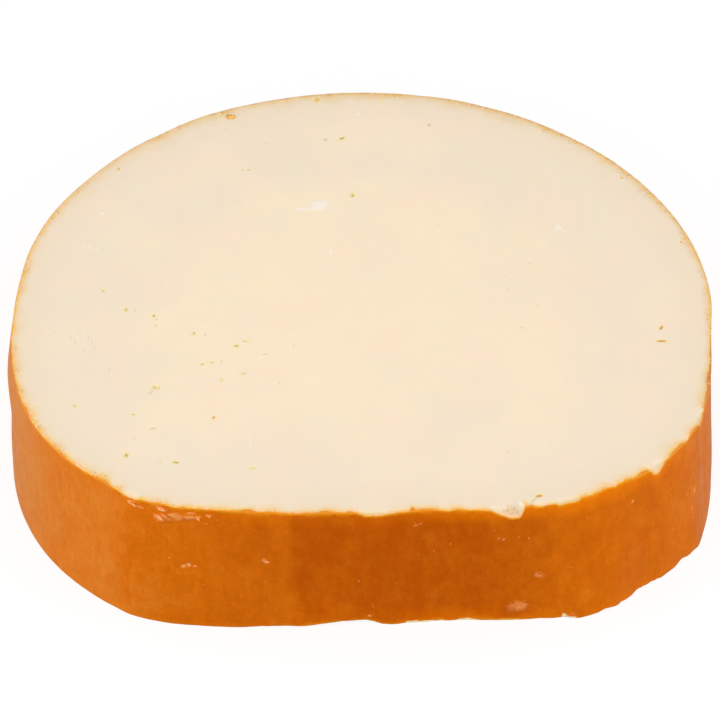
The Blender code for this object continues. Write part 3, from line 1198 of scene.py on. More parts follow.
    def bared(self, shape: Shape) -> np.ndarray:
        """Works out where the rind has come away above the base's edge.

        Args:
            shape: The points.

        Returns:
            How bare the paste is, from 0 to 1.
        """
        bare = np.zeros_like(shape.bearing)
        over = shape.place[:, 2] - self.form.base_lift(shape.bearing)[0]
        sway = 0.7 + 0.6 * BARE_SWAY.at(shape.bearing)
        for start, end, tall in BARE_RUNS:
            run = run_between(shape.bearing, start, end, 0.6, 0.6)
            bare = np.maximum(bare, run * (1 - ease(0.5 * over / np.maximum(tall * sway, 0.1 * MM))))
        return bare

    def paint(self, shape: Shape) -> dict[str, np.ndarray]:
        """Works out the fields that the finishes read.

        Args:
            shape: The points.

        Returns:
            Each field by its name: one value a point, or three for grain.
        """
        form, bearing, height = self.form, shape.bearing, shape.height
        wall = shape.share == 1
        drop, _, torn = form.rim_drop(bearing)
        chipped = ease(drop / self.full_chip)
        fringe = between_stops(FRINGE, "width", bearing) * (1 + 0.20 * FRINGE_SWAY.at(bearing))
        # How much of the painted glow under the rim the foot of the wall gets, by bearing.
        foot = 0.15 + 0.45 * run_between(bearing, -107, -50, 3, 12)
        rim = form.wall_reach(bearing, np.round(height)) / MM
        ways = np.radians(bearing)
        down = np.where(wall, -(1 - height) * form.thickness / MM, shape.skin)
        down = np.where(~wall & (height < MID_HEIGHT), -form.thickness / MM - shape.skin, down)
        return {
            "grain": np.stack([rim * np.cos(ways), rim * np.sin(ways), down], axis=1),
            "skin": shape.skin,
            "fringe": fringe * (1 - 0.65 * chipped),
            "lap": self.laps(bearing) * (1 - 0.8 * chipped) * (1 - torn),
            "gold": between_stops(FRINGE, "gold", bearing),
            "faded": between_stops(FRINGE, "faded", bearing),
            "clump": self.clumps(bearing),
            "smoke": self.smoked(shape),
            # The painted glow under the rim: its strength by bearing, and its share at the foot of the wall.
            "ember_glow": between_stops(SMOKE, "ember_glow", bearing) * (1 - torn),
            "glow": np.where(height > MID_HEIGHT, 1.0, foot),
            "torn": shape.torn,
            "bare": np.where(wall, self.bared(shape), 0.0),
            "amber": torn,
            # The slope of the chips on the upper face, which the paste darkens as painted shade.
            "chip": np.where(wall | (height < MID_HEIGHT), 0.0, shape.steep),
        }

    def build(self) -> bpy.types.Object:
        """Builds the slice and paints its fields on the mesh.

        Returns:
            The slice's object.
        """
        drum = self.drum()
        self.refine(drum)
        bmesh.ops.triangulate(drum, faces=[face for face in drum.faces if len(face.verts) > 4])
        piece = linked(self.name, drum)
        mesh = piece.data
        points = np.zeros(len(mesh.vertices) * 3)
        mesh.vertices.foreach_get("co", points)
        shape = self.shaped(points.reshape(-1, 3))
        fields = self.paint(shape)
        self.carve_face(shape, fields)
        self.carve_wall(shape, fields)
        mesh.vertices.foreach_set("co", shape.place.astype(np.float32).ravel())
        for field, values in fields.items():
            kind, slot = ("FLOAT_VECTOR", "vector") if values.ndim == 2 else ("FLOAT", "value")
            attribute = mesh.attributes.new(field, kind, "POINT")
            attribute.data.foreach_set(slot, values.astype(np.float32).ravel())
        mesh.update()
        return piece


@dataclass
class RindCrumbs:
    """Crumbs of rind that the knife dragged onto the upper face."""

    form: SliceForm
    name: str = "rind_crumbs"
    seed: int = 17
    sunk: float = 0.35
    flatness: float = 0.5
    lumpiness: float = 0.22
    # Where crumbs lie, in millimetres: x, y, how far they spread, how many, and the largest radius.
    clusters: tuple[tuple[float, float, float, int, float], ...] = (
        (-22.3, 43.0, 0.22, 11, 0.42),
        (-23.5, 43.8, 0.22, 4, 0.15),
        (-23.8, 43.2, 0.22, 3, 0.13),
        (31.6, 39.5, 0.30, 3, 0.13),
        (48.0, 25.4, 0.40, 3, 0.13),
        (58.35, -19.9, 0.08, 3, 0.24),
        (58.5, -17.9, 0.08, 2, 0.16),
        (59.1, -7.1, 0.06, 2, 0.18),
    )

    def build(self) -> bpy.types.Object:
        """Builds every crumb as a lumpy grain, in one mesh.

        Returns:
            The crumbs' object.
        """
        rng = np.random.default_rng(self.seed)
        heap = bmesh.new()
        for x, y, spread, count, largest in self.clusters:
            for _ in range(count):
                radius = rng.uniform(0.45, 1.0) * largest * MM
                across, along = rng.normal(0.0, spread, 2)
                place = Vector(((x + across) * MM, (y + 0.5 * along) * MM, self.form.thickness))
                place.z += radius * self.sunk - self.form.rim_sag / 2
                stretch = Matrix.Diagonal((*rng.uniform(0.7, 1.3, 2), self.flatness, 1.0))
                turn = Matrix.Rotation(rng.uniform(0, 2 * pi), 4, "Z")
                spot = Matrix.Translation(place) @ turn @ stretch
                grain = bmesh.ops.create_icosphere(heap, subdivisions=2, radius=radius, matrix=spot)
                for vert in grain["verts"]:
                    vert.co += (vert.co - place) * rng.uniform(-self.lumpiness, self.lumpiness)
        return linked(self.name, heap)


@dataclass
class RindFlakes:
    """Thin curled flakes of film where the rind has peeled under the rim."""

    form: SliceForm
    name: str = "rind_flakes"
    seed: int = 23
    film: float = 0.07 * MM
    gap: float = 0.16 * MM
    # Where flakes hang: bearing, height in millimetres, width, height and turn of each.
    flakes: tuple[tuple[float, float, float, float, float], ...] = (
        (-131.5, 26.8, 1.8, 0.70, -4.0),
        (-126.6, 27.2, 2.0, 0.60, -20.0),
        (-126.9, 25.2, 2.0, 1.20, 4.0),
        (-120.6, 26.2, 1.0, 0.45, 50.0),
        (-118.9, 26.9, 0.9, 0.35, 8.0),
        (-108.9, 16.3, 1.4, 0.40, -24.0),
    )

    def build(self) -> bpy.types.Object:
        """Builds every flake as a small curled sheet with its own thickness.

        Returns:
            The flakes' object.
        """
        rng = np.random.default_rng(self.seed)
        sheets = bmesh.new()
        for bearing, height, across, tall, turn in self.flakes:
            sheet = bmesh.ops.create_grid(sheets, x_segments=14, y_segments=8, size=0.5)["verts"]
            share = height * MM / self.form.thickness
            reach = float(self.form.wall_reach(np.array([bearing]), np.array([share]))[0])
            phase = rng.uniform(0, 2 * pi)
            for vert in sheet:
                u, v = vert.co.x, vert.co.y
                ragged = 1 - 1.6 * u * u + 0.22 * sin(9 * u + phase) + 0.12 * sin(17 * u + 2 * phase)
                curl = 0.12 * (0.5 - v) ** 2 - 0.04 + 0.04 * sin(6 * u + phase)
                vert.co = (u * across * MM, curl * tall * MM, v * tall * MM * ragged)
            spin = Matrix.Rotation(radians(turn), 4, "Y")
            face_out = Matrix.Rotation(radians(bearing) + pi / 2, 4, "Z")
            place = Matrix.Translation(self.form.spot_at(bearing, reach + self.gap, height * MM))
            bmesh.ops.transform(sheets, matrix=place @ face_out @ spin, verts=sheet)
        bmesh.ops.solidify(sheets, geom=sheets.faces[:], thickness=self.film)
        bmesh.ops.recalc_face_normals(sheets, faces=sheets.faces)
        return linked(self.name, sheets)


Socket = bpy.types.NodeSocket


class NodeSketch:
    """Adds the nodes of one material and joins them."""

    def __init__(self, name: str) -> None:
        """Starts a material with its principled shader.

        Args:
            name: The material's name.
        """
        self.material = bpy.data.materials.new(name)
        self.material.use_nodes = True
        self.tree = self.material.node_tree
        self.shader = self.tree.nodes["Principled BSDF"]

    def put(self, target: Socket, value: Socket | float | tuple) -> None:
        """Links a socket to a target, or sets the target's own value.

        Args:
            target: The socket that takes the value.
            value: A socket, a number or a colour.
        """
        if isinstance(value, Socket):
            self.tree.links.new(value, target)
        elif isinstance(value, tuple) and target.type == "RGBA":
            target.default_value = (*value, 1.0)
        else:
            target.default_value = value

    def field(self, name: str) -> Socket:
        """Reads a painted field of the mesh.

        Args:
            name: The field's name.

        Returns:
            Its value at each place.
        """
        node = self.tree.nodes.new("ShaderNodeAttribute")
        node.attribute_name = name
        return node.outputs["Vector" if name == "grain" else "Fac"]

    def place(self) -> Socket:
        """Reads the place on the piece, in millimetres."""
        node = self.tree.nodes.new("ShaderNodeTexCoord")
        return self.stretched(node.outputs["Object"], (1 / MM, 1 / MM, 1 / MM))

    def stretched(self, vector: Socket, by: tuple[float, float, float]) -> Socket:
        """Scales a vector along each axis.

        Args:
            vector: The vector.
            by: The scale of each axis.

        Returns:
            The scaled vector.
        """
        node = self.tree.nodes.new("ShaderNodeVectorMath")
        node.operation = "MULTIPLY"
        self.put(node.inputs[0], vector)
        node.inputs[1].default_value = by
        return node.outputs["Vector"]

    def maths(self, operation: str, *values: Socket | float) -> Socket:
        """Works out one sum.

        Args:
            operation: What the maths node does.
            values: What it does it on.

        Returns:
            The result.
        """
        node = self.tree.nodes.new("ShaderNodeMath")
        node.operation = operation
        for target, value in zip(node.inputs, values):
            self.put(target, value)
        return node.outputs["Value"]

    def plus(self, first: Socket | float, second: Socket | float) -> Socket:
        """Adds two values."""
        return self.maths("ADD", first, second)

    def times(self, first: Socket | float, second: Socket | float) -> Socket:
        """Multiplies two values."""
        return self.maths("MULTIPLY", first, second)

    def span(
        self, value: Socket, low: float, high: float, to_low: float = 0.0, to_high: float = 1.0
    ) -> Socket:
        """Carries a value from one range smoothly to another, and holds it at the ends.

        Args:
            value: The value.
            low: Where the first range starts.
            high: Where it ends.
            to_low: What the start becomes.
            to_high: What the end becomes.

        Returns:
            The new value.
        """
        node = self.tree.nodes.new("ShaderNodeMapRange")
        node.interpolation_type = "SMOOTHSTEP"
        for name, number in (("From Min", low), ("From Max", high), ("To Min", to_low), ("To Max", to_high)):
            node.inputs[name].default_value = number
        self.put(node.inputs["Value"], value)
        return node.outputs["Result"]

    def ranged(self, noise: Socket, low: float, high: float) -> Socket:
        """Carries soft noise to a range of its own."""
        return self.span(noise, NOISE_LOW, NOISE_HIGH, low, high)

    def noise(self, vector: Socket, scale: float, detail: float = 2.0, roughness: float = 0.5) -> Socket:
        """Reads soft noise.

        Args:
            vector: Where to read it.
            scale: How many lumps fit in one unit of the vector.
            detail: How many finer layers it has.
            roughness: How strong those are.

        Returns:
            The noise, about 0.5.
        """
        node = self.tree.nodes.new("ShaderNodeTexNoise")
        self.put(node.inputs["Vector"], vector)
        for name, number in (("Scale", scale), ("Detail", detail), ("Roughness", roughness)):
            node.inputs[name].default_value = number
        return node.outputs["Fac"]

    def ramp(self, value: Socket, *stops: tuple[float, Colour]) -> Socket:
        """Turns a value into a colour that runs through stops.

        Args:
            value: The value.
            stops: The value and the colour of each stop.

        Returns:
            The colour.
        """
        node = self.tree.nodes.new("ShaderNodeValToRGB")
        elements = node.color_ramp.elements
        while len(elements) < len(stops):
            elements.new(0.5)
        for element, (place, colour) in zip(elements, stops):
            element.position = place
            element.color = (*colour, 1.0)
        self.put(node.inputs["Fac"], value)
        return node.outputs["Color"]

    def mixed(self, share: Socket | float, first: Socket | Colour, second: Socket | Colour) -> Socket:
        """Mixes two colours.

        Args:
            share: The share of the second colour.
            first: The first colour.
            second: The second colour.

        Returns:
            The mixed colour.
        """
        node = self.tree.nodes.new("ShaderNodeMix")
        node.data_type = "RGBA"
        self.put(node.inputs["Factor"], share)
        self.put(node.inputs[MIX_FIRST], first)
        self.put(node.inputs[MIX_SECOND], second)
        return node.outputs[MIX_RESULT]

    def shaded(self, colour: Socket, by: Socket) -> Socket:
        """Multiplies a colour by a value.

        Args:
            colour: The colour.
            by: The value.

        Returns:
            The darker or lighter colour.
        """
        node = self.tree.nodes.new("ShaderNodeVectorMath")
        node.operation = "SCALE"
        self.put(node.inputs[0], colour)
        self.put(node.inputs["Scale"], by)
        return node.outputs["Vector"]

    def bump(self, height: Socket, strength: float, distance: float) -> None:
        """Gives the shader a fine relief.

        Args:
            height: The relief's height, from 0 to 1.
            strength: How much of it shows.
            distance: How tall it is, in metres.
        """
        node = self.tree.nodes.new("ShaderNodeBump")
        node.inputs["Strength"].default_value = strength
        node.inputs["Distance"].default_value = distance
        self.put(node.inputs["Height"], height)
        self.put(self.shader.inputs["Normal"], node.outputs["Normal"])

    def finish(self, colour: Socket | Colour, roughness: Socket | float, gloss: float) -> bpy.types.Material:
        """Joins the colour and roughness to the shader.

        Args:
            colour: The base colour.
            roughness: The roughness.
            gloss: The specular level.

        Returns:
            The material.
        """
        self.put(self.shader.inputs["Base Color"], colour)
        self.put(self.shader.inputs["Roughness"], roughness)
        self.shader.inputs["Specular IOR Level"].default_value = gloss
        return self.material

    def soften(self, share: float, depth: float, radius: tuple[float, float, float]) -> None:
        """Lets light travel a little way under the surface.

        Args:
            share: The share of the light that does.
            depth: How deep it goes, in metres.
            radius: How far red, green and blue go, as shares of the depth.
        """
        self.shader.inputs["Subsurface Weight"].default_value = share
        self.shader.inputs["Subsurface Scale"].default_value = depth
        self.shader.inputs["Subsurface Radius"].default_value = radius


@dataclass(frozen=True)
class PasteFinish:
    """The pale paste of the cut faces, stained amber where it meets the rind, the amber partly a painted
    glow.
    """

    name: str = "cheese_paste"
    warm: Colour = tint(251, 230, 200)
    cool: Colour = tint(242, 226, 201)
    edge: Colour = tint(239, 221, 195)
    blush: Colour = tint(250, 224, 200)
    # Rubbed paste, paler by a painted sheen.
    smear: Colour = tint(250, 237, 225)
    flesh: Colour = tint(246, 202, 160)
    rind: Colour = tint(224, 136, 14)
    brown: Colour = tint(204, 132, 70)
    yellow: Colour = tint(240, 204, 112)
    pink: Colour = tint(246, 202, 164)
    ochre: Colour = tint(236, 182, 92)
    grit: Colour = tint(140, 106, 52)
    gloss: float = 0.35

    def material(self) -> bpy.types.Material:
        """Builds the finish.

        Returns:
            The material.
        """
        sketch = NodeSketch(self.name)
        place, skin = sketch.place(), sketch.field("skin")
        colour = self.body(sketch, place, skin)
        colour = self.fringe(sketch, colour, place, skin)
        colour = self.marks(sketch, colour, place)
        roughness = sketch.ranged(sketch.noise(place, 0.25, 3.0), 0.46, 0.58)
        fine = sketch.noise(place, 2.2, 3.0, 0.6)
        knife = sketch.noise(sketch.stretched(place, (0.05, 1.6, 1.0)), 1.0, 2.0)
        relief = sketch.plus(sketch.times(fine, 0.6), sketch.times(knife, 0.4))
        sketch.bump(relief, strength=0.35, distance=0.04 * MM)
        sketch.soften(0.25, 1.2 * MM, (1.0, 0.6, 0.3))
        return sketch.finish(colour, roughness, self.gloss)

    def body(self, sketch: NodeSketch, place: Socket, skin: Socket) -> Socket:
        """Colours the plain paste: warm and cool clouds, a little duller near the rim.

        Args:
            sketch: The material's nodes.
            place: The place on the slice.
            skin: The distance in from the rim.

        Returns:
            The colour.
        """
        clouds = sketch.ranged(sketch.noise(place, 0.06, 3.0, 0.55), -0.35, 0.35)
        middle = sketch.plus(sketch.span(skin, 8.0, 40.0, 0.15, 0.9), clouds)
        colour = sketch.mixed(sketch.span(middle, 0.0, 1.0), self.cool, self.warm)
        blushed = sketch.span(sketch.noise(place, 0.11, 2.0), 0.45, 0.65, 0.0, 0.35)
        colour = sketch.mixed(blushed, colour, self.blush)
        return sketch.mixed(sketch.span(skin, 9.0, 0.5, 0.0, 0.8), colour, self.edge)

    def fringe(self, sketch: NodeSketch, body: Socket, place: Socket, skin: Socket) -> Socket:
        """Lays the stained fringe round the rim: golden at the front, partly a painted glow, dull and gritty
        behind.

        Args:
            sketch: The material's nodes.
            body: The plain paste's colour.
            place: The place on the slice.
            skin: The distance in from the rim.

        Returns:
            The colour.
        """
        wander = sketch.ranged(sketch.noise(place, 0.35, 2.0), 0.75, 1.25)
        width = sketch.times(sketch.field("fringe"), wander)
        inward = sketch.maths("SUBTRACT", skin, sketch.field("lap"))
        blots = sketch.span(sketch.noise(place, 0.85, 2.0, 0.55), 0.32, 0.68, -0.15, 0.15)
        inward_share = sketch.plus(sketch.maths("DIVIDE", inward, width), blots)
        run = sketch.times(inward_share, 1 / 3.4)
        # Golden: a stain together with a painted glow of light through the paste near the rim.
        golden = sketch.ramp(
            run,
            (0.00, tint(233, 162, 54)),
            (0.06, tint(238, 182, 92)),
            (0.12, tint(241, 196, 124)),
            (0.20, tint(242, 206, 150)),
            (0.32, tint(241, 213, 170)),
            (0.50, tint(240, 218, 184)),
            (1.00, tint(241, 222, 195)),
        )
        dull = sketch.ramp(
            run,
            (0.00, tint(168, 122, 62)),
            (0.06, tint(208, 160, 94)),
            (0.13, tint(228, 184, 116)),
            (0.26, tint(236, 202, 150)),
            (0.46, tint(237, 213, 176)),
            (1.00, tint(240, 221, 195)),
        )
        gold = sketch.field("gold")
        colour = sketch.mixed(gold, dull, golden)
        near = sketch.span(run, 0.42, 0.06)
        hues = sketch.noise(sketch.stretched(place, (1.0, 1.0, 0.2)), 1.15, 2.0, 0.6)
        for low, high, hue in ((0.53, 0.60, self.yellow), (0.47, 0.40, self.pink)):
            share = sketch.times(sketch.span(hues, low, high, 0.0, 0.75), near)
            colour = sketch.mixed(share, colour, hue)
        colour = sketch.mixed(sketch.field("faded"), colour, body)
        stained = sketch.mixed(sketch.span(run, 1.0, 0.5), body, colour)
        teeth = sketch.ranged(sketch.noise(place, 1.5, 2.0, 0.55), -0.07, 0.07)
        edge = sketch.plus(inward, teeth)
        lapped = sketch.mixed(sketch.span(gold, 0.3, 0.9), self.brown, self.rind)
        stained = sketch.mixed(sketch.span(edge, 0.05, -0.03), stained, lapped)
        crumbly = sketch.span(sketch.noise(place, 2.2, 2.0, 0.6), 0.50, 0.58)
        clump = sketch.times(sketch.field("clump"), sketch.span(inward, 1.6, 0.7, 0.0, 0.9))
        clump = sketch.times(clump, crumbly)
        stained = sketch.mixed(clump, stained, self.ochre)
        specks = sketch.span(sketch.noise(place, 3.4, 1.0), 0.62, 0.69, 0.0, 0.85)
        dots = sketch.times(sketch.field("clump"), sketch.span(inward, 1.7, 0.6))
        rim = sketch.times(sketch.span(run, 0.16, 0.04, 0.0, 0.6), sketch.span(gold, 0.9, 0.4))
        dots = sketch.times(sketch.maths("MAXIMUM", dots, rim), specks)
        return sketch.mixed(dots, stained, self.grit)

    def marks(self, sketch: NodeSketch, body: Socket, place: Socket) -> Socket:
        """Colours the specks, smears and torn places, and paints shade on the steep slopes of chips.

        Args:
            sketch: The material's nodes.
            body: The colour under them.
            place: The place on the slice.

        Returns:
            The colour.
        """
        uneven = sketch.ranged(sketch.noise(place, 3.2, 2.0, 0.6), 0.5, 1.15)
        stain = sketch.times(sketch.field("stain"), uneven)
        tone = sketch.field("tone")
        brown = sketch.ramp(
            stain,
            (0.00, tint(246, 228, 188)),
            (0.35, tint(240, 210, 144)),
            (0.65, tint(226, 168, 86)),
            (1.00, tint(150, 108, 50)),
        )
        olive = sketch.ramp(
            stain,
            (0.00, tint(241, 228, 190)),
            (0.35, tint(242, 220, 154)),
            (0.65, tint(216, 188, 110)),
            (1.00, tint(150, 124, 62)),
        )
        grey = sketch.ramp(
            stain,
            (0.00, tint(240, 224, 194)),
            (0.50, tint(224, 206, 168)),
            (1.00, tint(160, 144, 106)),
        )
        colour = sketch.mixed(sketch.span(tone, 0.0, 0.5), brown, olive)
        colour = sketch.mixed(sketch.span(tone, 0.5, 1.0), colour, grey)
        body = sketch.mixed(sketch.span(stain, 0.03, 0.25), body, colour)
        # Rubbed smears: paler, a painted sheen.
        body = sketch.mixed(sketch.span(sketch.field("scuff"), 0.15, 0.6, 0.0, 0.85), body, self.smear)
        rough = sketch.ramp(
            sketch.noise(place, 1.6, 3.0, 0.65),
            (0.34, tint(204, 174, 124)),
            (0.44, tint(232, 201, 156)),
            (0.58, tint(242, 211, 168)),
        )
        rough = sketch.mixed(sketch.span(sketch.field("skin"), 0.55, 0.30), rough, self.flesh)
        ragged = sketch.ranged(sketch.noise(place, 0.9, 3.0, 0.65), -0.45, 0.0)
        torn = sketch.plus(sketch.field("torn"), ragged)
        body = sketch.mixed(sketch.span(torn, 0.03, 0.35), body, rough)
        # Painted shade: the steep slopes of chips are darkened.
        return sketch.shaded(body, sketch.span(sketch.field("chip"), 0.0, 0.12, 1.0, 0.89))


@dataclass(frozen=True)
class RindFinish:
    """The smoked rind: satin orange-brown, clouded, faintly streaked, with a painted glow under the rim."""

    name: str = "smoked_rind"
    dark: Colour = tint(190, 84, 1)
    middle: Colour = tint(212, 107, 8)
    light: Colour = tint(219, 131, 46)
    # A painted glow of light through the rind under the rim: a narrow bright band and a wider warm one.
    band: Colour = tint(232, 148, 24)
    ember_glow: Colour = tint(234, 120, 0)
    haze: Colour = tint(216, 130, 30)
    # Pale film colour: peeled film, and painted highlights and sheen on dents, patches and the crease.
    film: Colour = tint(246, 160, 94)
    # Painted glints.
    fleck: Colour = tint(240, 156, 84)
    # Painted shade in grooves, creases and gaps.
    soot: Colour = tint(128, 80, 10)
    amber: Colour = tint(240, 172, 60)
    paste: Colour = tint(246, 218, 160)
    gloss: float = 0.1

    def material(self) -> bpy.types.Material:
        """Builds the finish.

        Returns:
            The material.
        """
        sketch = NodeSketch(self.name)
        place, grain = sketch.place(), sketch.field("grain")
        streaks = sketch.noise(sketch.stretched(grain, (1.0, 1.0, 0.14)), 0.5, 4.0, 0.6)
        fine = sketch.noise(place, 2.4, 3.0, 0.65)
        smoke = sketch.field("smoke")
        for scale, depth in ((0.09, 0.07), (0.34, 0.09), (1.1, 0.05)):
            clouds = sketch.noise(sketch.stretched(place, (1.0, 1.0, 0.7)), scale, 3.0, 0.65)
            smoke = sketch.plus(smoke, sketch.ranged(clouds, -depth, depth))
        smoke = sketch.plus(smoke, sketch.ranged(streaks, -0.05, 0.05))
        colour = sketch.ramp(smoke, (0.0, self.light), (0.45, self.middle), (0.95, self.dark))
        colour = sketch.shaded(colour, sketch.ranged(fine, 0.95, 1.05))
        wisps = sketch.noise(sketch.stretched(grain, (1.0, 1.0, 0.3)), 1.0, 2.0, 0.6)
        colour = sketch.shaded(colour, sketch.span(wisps, 0.45, 0.7, 0.99, 1.05))
        hazy = sketch.noise(sketch.stretched(place, (1.0, 1.0, 0.6)), 0.28, 3.0, 0.65)
        colour = sketch.mixed(sketch.span(hazy, 0.50, 0.70, 0.0, 0.12), colour, self.haze)
        # Painted glow of light through the rind under the rim: a wide warm band, then a narrow bright one,
        # fainter at the foot of the wall.
        deep = sketch.plus(sketch.field("skin"), sketch.ranged(hazy, -0.6, 0.6))
        warm = sketch.times(sketch.span(deep, -4.4, -0.3), sketch.field("ember_glow"))
        warm = sketch.times(warm, sketch.field("glow"))
        colour = sketch.mixed(warm, colour, self.ember_glow)
        under = sketch.maths("DIVIDE", sketch.field("skin"), sketch.ranged(streaks, -0.45, -1.3))
        glow = sketch.times(sketch.span(under, 1.1, 0.1, 0.0, 0.8), sketch.field("glow"))
        colour = sketch.mixed(glow, colour, self.band)
        # Pale film colour: peeled film, and painted highlights and sheen.
        torn = sketch.ranged(sketch.noise(place, 1.7, 3.0, 0.6), -0.12, 0.12)
        peel = sketch.plus(sketch.field("peel"), torn)
        colour = sketch.mixed(sketch.span(peel, 0.12, 0.80, 0.0, 0.9), colour, self.film)
        # Painted shade in grooves, creases and gaps.
        colour = sketch.mixed(sketch.span(sketch.field("soot"), 0.1, 0.9, 0.0, 0.85), colour, self.soot)
        colour = sketch.mixed(sketch.span(sketch.field("bare"), 0.45, 0.75), colour, self.paste)
        near_rim = sketch.span(sketch.field("skin"), -0.8, -0.1)
        colour = sketch.mixed(sketch.times(sketch.field("amber"), near_rim), colour, self.amber)
        # Small painted glints scattered over the rind.
        flecks = sketch.noise(place, 2.0, 1.0)
        colour = sketch.mixed(sketch.span(flecks, 0.76, 0.80, 0.0, 0.7), colour, self.fleck)
        roughness = sketch.ranged(sketch.noise(place, 0.5, 4.0, 0.6), 0.36, 0.50)
        lumps = sketch.noise(place, 1.1, 3.0, 0.6)
        relief = sketch.plus(sketch.times(lumps, 0.5), sketch.times(fine, 0.5))
        sketch.bump(relief, strength=0.3, distance=0.06 * MM)
        sketch.soften(0.12, 0.7 * MM, (1.0, 0.35, 0.1))
        return sketch.finish(colour, roughness, self.gloss)


@dataclass(frozen=True)
class CrumbFinish:
    """Crumbs of rind: ochre to dark brown, dry."""

    name: str = "rind_crumb"
    light: Colour = tint(250, 194, 112)
    dark: Colour = tint(202, 138, 64)
    roughness: float = 0.55
    gloss: float = 0.3

    def material(self) -> bpy.types.Material:
        """Builds the finish.

        Returns:
            The material.
        """
        sketch = NodeSketch(self.name)
        place = sketch.place()
        lumps = sketch.noise(place, 1.3, 3.0, 0.7)
        colour = sketch.mixed(sketch.span(lumps, 0.40, 0.60), self.dark, self.light)
        sketch.bump(sketch.noise(place, 6.0, 2.0), strength=0.4, distance=0.03 * MM)
        return sketch.finish(colour, self.roughness, self.gloss)


@dataclass(frozen=True)
class FilmFinish:
    """Peeled film: thin, pinkish tan and glossy."""

    name: str = "rind_film"
    pale: Colour = tint(255, 178, 112)
    deep: Colour = tint(240, 146, 76)
    roughness: float = 0.45
    gloss: float = 0.12

    def material(self) -> bpy.types.Material:
        """Builds the finish.

        Returns:
            The material.
        """
        sketch = NodeSketch(self.name)
        place = sketch.place()
        lumps = sketch.noise(place, 1.1, 3.0, 0.6)
        colour = sketch.mixed(sketch.span(lumps, 0.38, 0.62), self.deep, self.pale)
        sketch.bump(sketch.noise(place, 5.0, 2.0), strength=0.3, distance=0.03 * MM)
        return sketch.finish(colour, self.roughness, self.gloss)


@dataclass(frozen=True)
class Softbox:
    """A square lamp that lights the slice from one side."""

    name: str
    azimuth: float
    elevation: float
    distance: float
    size: float
    power: float


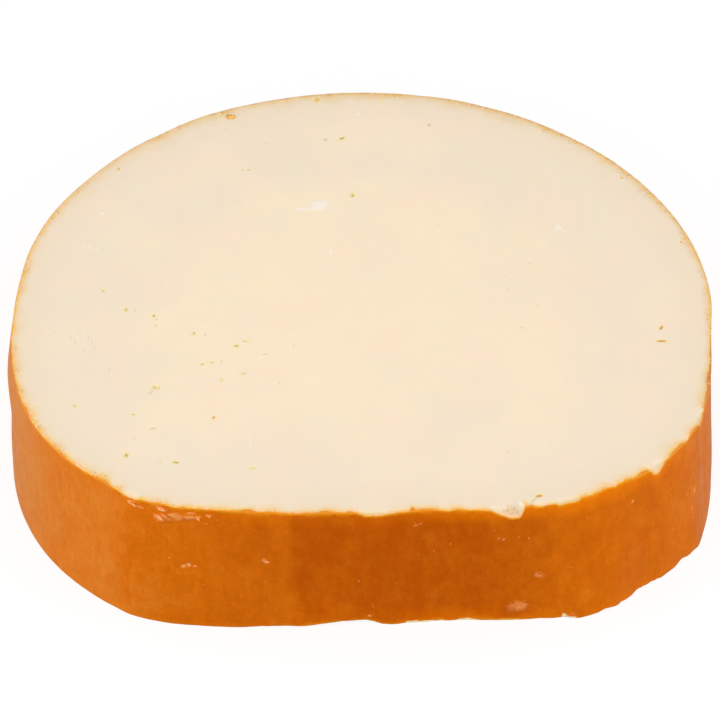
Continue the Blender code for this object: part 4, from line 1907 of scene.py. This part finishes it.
@dataclass(frozen=True)
class Studio:
    """The camera, the pale floor and the soft light."""

    elevation: float = 46.5
    distance: float = 1.80497
    lens: float = 526.89
    sensor: float = 36.0
    aim: tuple[float, float, float] = (-0.009 * MM, 12.634 * MM, 0.0)
    floor_size: float = 3.0
    floor_colour: Colour = (0.20, 0.20, 0.20)
    floor_glow: float = 0.83
    sky: float = 0.72
    horizon: float = 0.12
    ground_near: float = 0.0
    ground_far: float = 0.45
    ground_reach: float = 0.6
    softboxes: tuple[Softbox, ...] = (
        Softbox("front_softbox", azimuth=-90, elevation=18, distance=1.0, size=0.8, power=4.9),
        Softbox("left_softbox", azimuth=190, elevation=12, distance=0.9, size=0.7, power=4.1),
        Softbox("right_softbox", azimuth=-10, elevation=12, distance=0.9, size=0.7, power=3.8),
    )

    def place_camera(self) -> None:
        """Sets the camera up at the viewing height, level across."""
        data = bpy.data.cameras.new("camera")
        data.lens, data.sensor_width = self.lens, self.sensor
        data.clip_start, data.clip_end = 0.05, 20.0
        camera = bpy.data.objects.new("camera", data)
        rise = radians(self.elevation)
        back = Vector((0, -cos(rise), sin(rise))) * self.distance
        camera.location = Vector(self.aim) + back
        camera.rotation_euler = (pi / 2 - rise, 0, 0)
        bpy.context.scene.collection.objects.link(camera)
        bpy.context.scene.camera = camera

    def lay_floor(self) -> None:
        """Lays the pale floor; the world's lower half stands in for the light it throws back."""
        sheet = bmesh.new()
        bmesh.ops.create_grid(sheet, x_segments=1, y_segments=1, size=self.floor_size)
        floor = linked("floor", sheet)
        sketch = NodeSketch("floor")
        sketch.shader.inputs["Emission Color"].default_value = (1.0, 1.0, 1.0, 1.0)
        sketch.shader.inputs["Emission Strength"].default_value = self.floor_glow
        floor.data.materials.append(sketch.finish(self.floor_colour, 1.0, 0.0))
        floor.visible_diffuse = floor.visible_glossy = floor.visible_shadow = False

    def graded(self, value: Socket, reach: float, low: float, high: float) -> bpy.types.Node:
        """Grades the world's light evenly from one side to the other.

        Args:
            value: The direction's share along one axis.
            reach: The value where the light stops growing, and below zero where it starts.
            low: The light at the start.
            high: The light at the end.

        Returns:
            The node that gives the light.
        """
        node = value.id_data.nodes.new("ShaderNodeMapRange")
        for name, number in (("From Min", -reach), ("From Max", reach), ("To Min", low), ("To Max", high)):
            node.inputs[name].default_value = number
        value.id_data.links.new(value, node.inputs["Value"])
        return node

    def hang_lights(self) -> None:
        """Lights the world, a ground dark in front and lighter behind under a brighter sky, and adds the
        softboxes.
        """
        world = bpy.data.worlds.new("studio")
        world.use_nodes = True
        tree = world.node_tree
        background = tree.nodes["Background"]
        way = tree.nodes.new("ShaderNodeTexCoord").outputs["Generated"]
        parts = tree.nodes.new("ShaderNodeSeparateXYZ")
        tree.links.new(way, parts.inputs["Vector"])
        ground = self.graded(parts.outputs["Y"], self.ground_reach, self.ground_near, self.ground_far)
        sky = self.graded(parts.outputs["Z"], self.horizon, 0.0, self.sky)
        tree.links.new(ground.outputs["Result"], sky.inputs["To Min"])
        tree.links.new(sky.outputs["Result"], background.inputs["Strength"])
        background.inputs["Color"].default_value = (1.0, 1.0, 1.0, 1.0)
        bpy.context.scene.world = world
        for box in self.softboxes:
            self.hang(box)

    def hang(self, box: Softbox) -> None:
        """Hangs one softbox so that it faces the slice.

        Args:
            box: The softbox.
        """
        data = bpy.data.lights.new(box.name, "AREA")
        data.size, data.energy = box.size, box.power
        lamp = bpy.data.objects.new(box.name, data)
        flat, rise = radians(box.azimuth), radians(box.elevation)
        way = Vector((cos(flat) * cos(rise), sin(flat) * cos(rise), sin(rise)))
        lamp.location = way * box.distance
        lamp.rotation_euler = way.to_track_quat("Z", "Y").to_euler()
        lamp.visible_camera = False
        bpy.context.scene.collection.objects.link(lamp)

    def set_up(self) -> None:
        """Sets up the camera, floor and light, with plain colour handling."""
        self.place_camera()
        self.lay_floor()
        self.hang_lights()
        bpy.context.scene.view_settings.view_transform = "Standard"
        bpy.context.scene.view_settings.look = "None"


def dress(piece: bpy.types.Object, slot: str, *finishes: bpy.types.Material) -> None:
    """Gives a piece its finishes and fixes it to the slice's body.

    Args:
        piece: The piece.
        slot: Not used.
        finishes: Its materials, in the order of its faces' places.
    """
    for finish in finishes:
        piece.data.materials.append(finish)
    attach(piece, BODY)
    log.info("%s: %d faces", piece.name, len(piece.data.polygons))


def main() -> None:
    """Builds the studio and every piece in order."""
    Studio().set_up()
    form = SliceForm()
    rind = RindFinish().material()
    cheese = CheeseSlice(form).build()
    dress(cheese, PASTE_SLOT, PasteFinish().material(), rind)
    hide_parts(NODE)
    dress(RindCrumbs(form).build(), RIND_SLOT, CrumbFinish().material())
    dress(RindFlakes(form).build(), RIND_SLOT, FilmFinish().material())


if __name__ == "__main__":
    main()
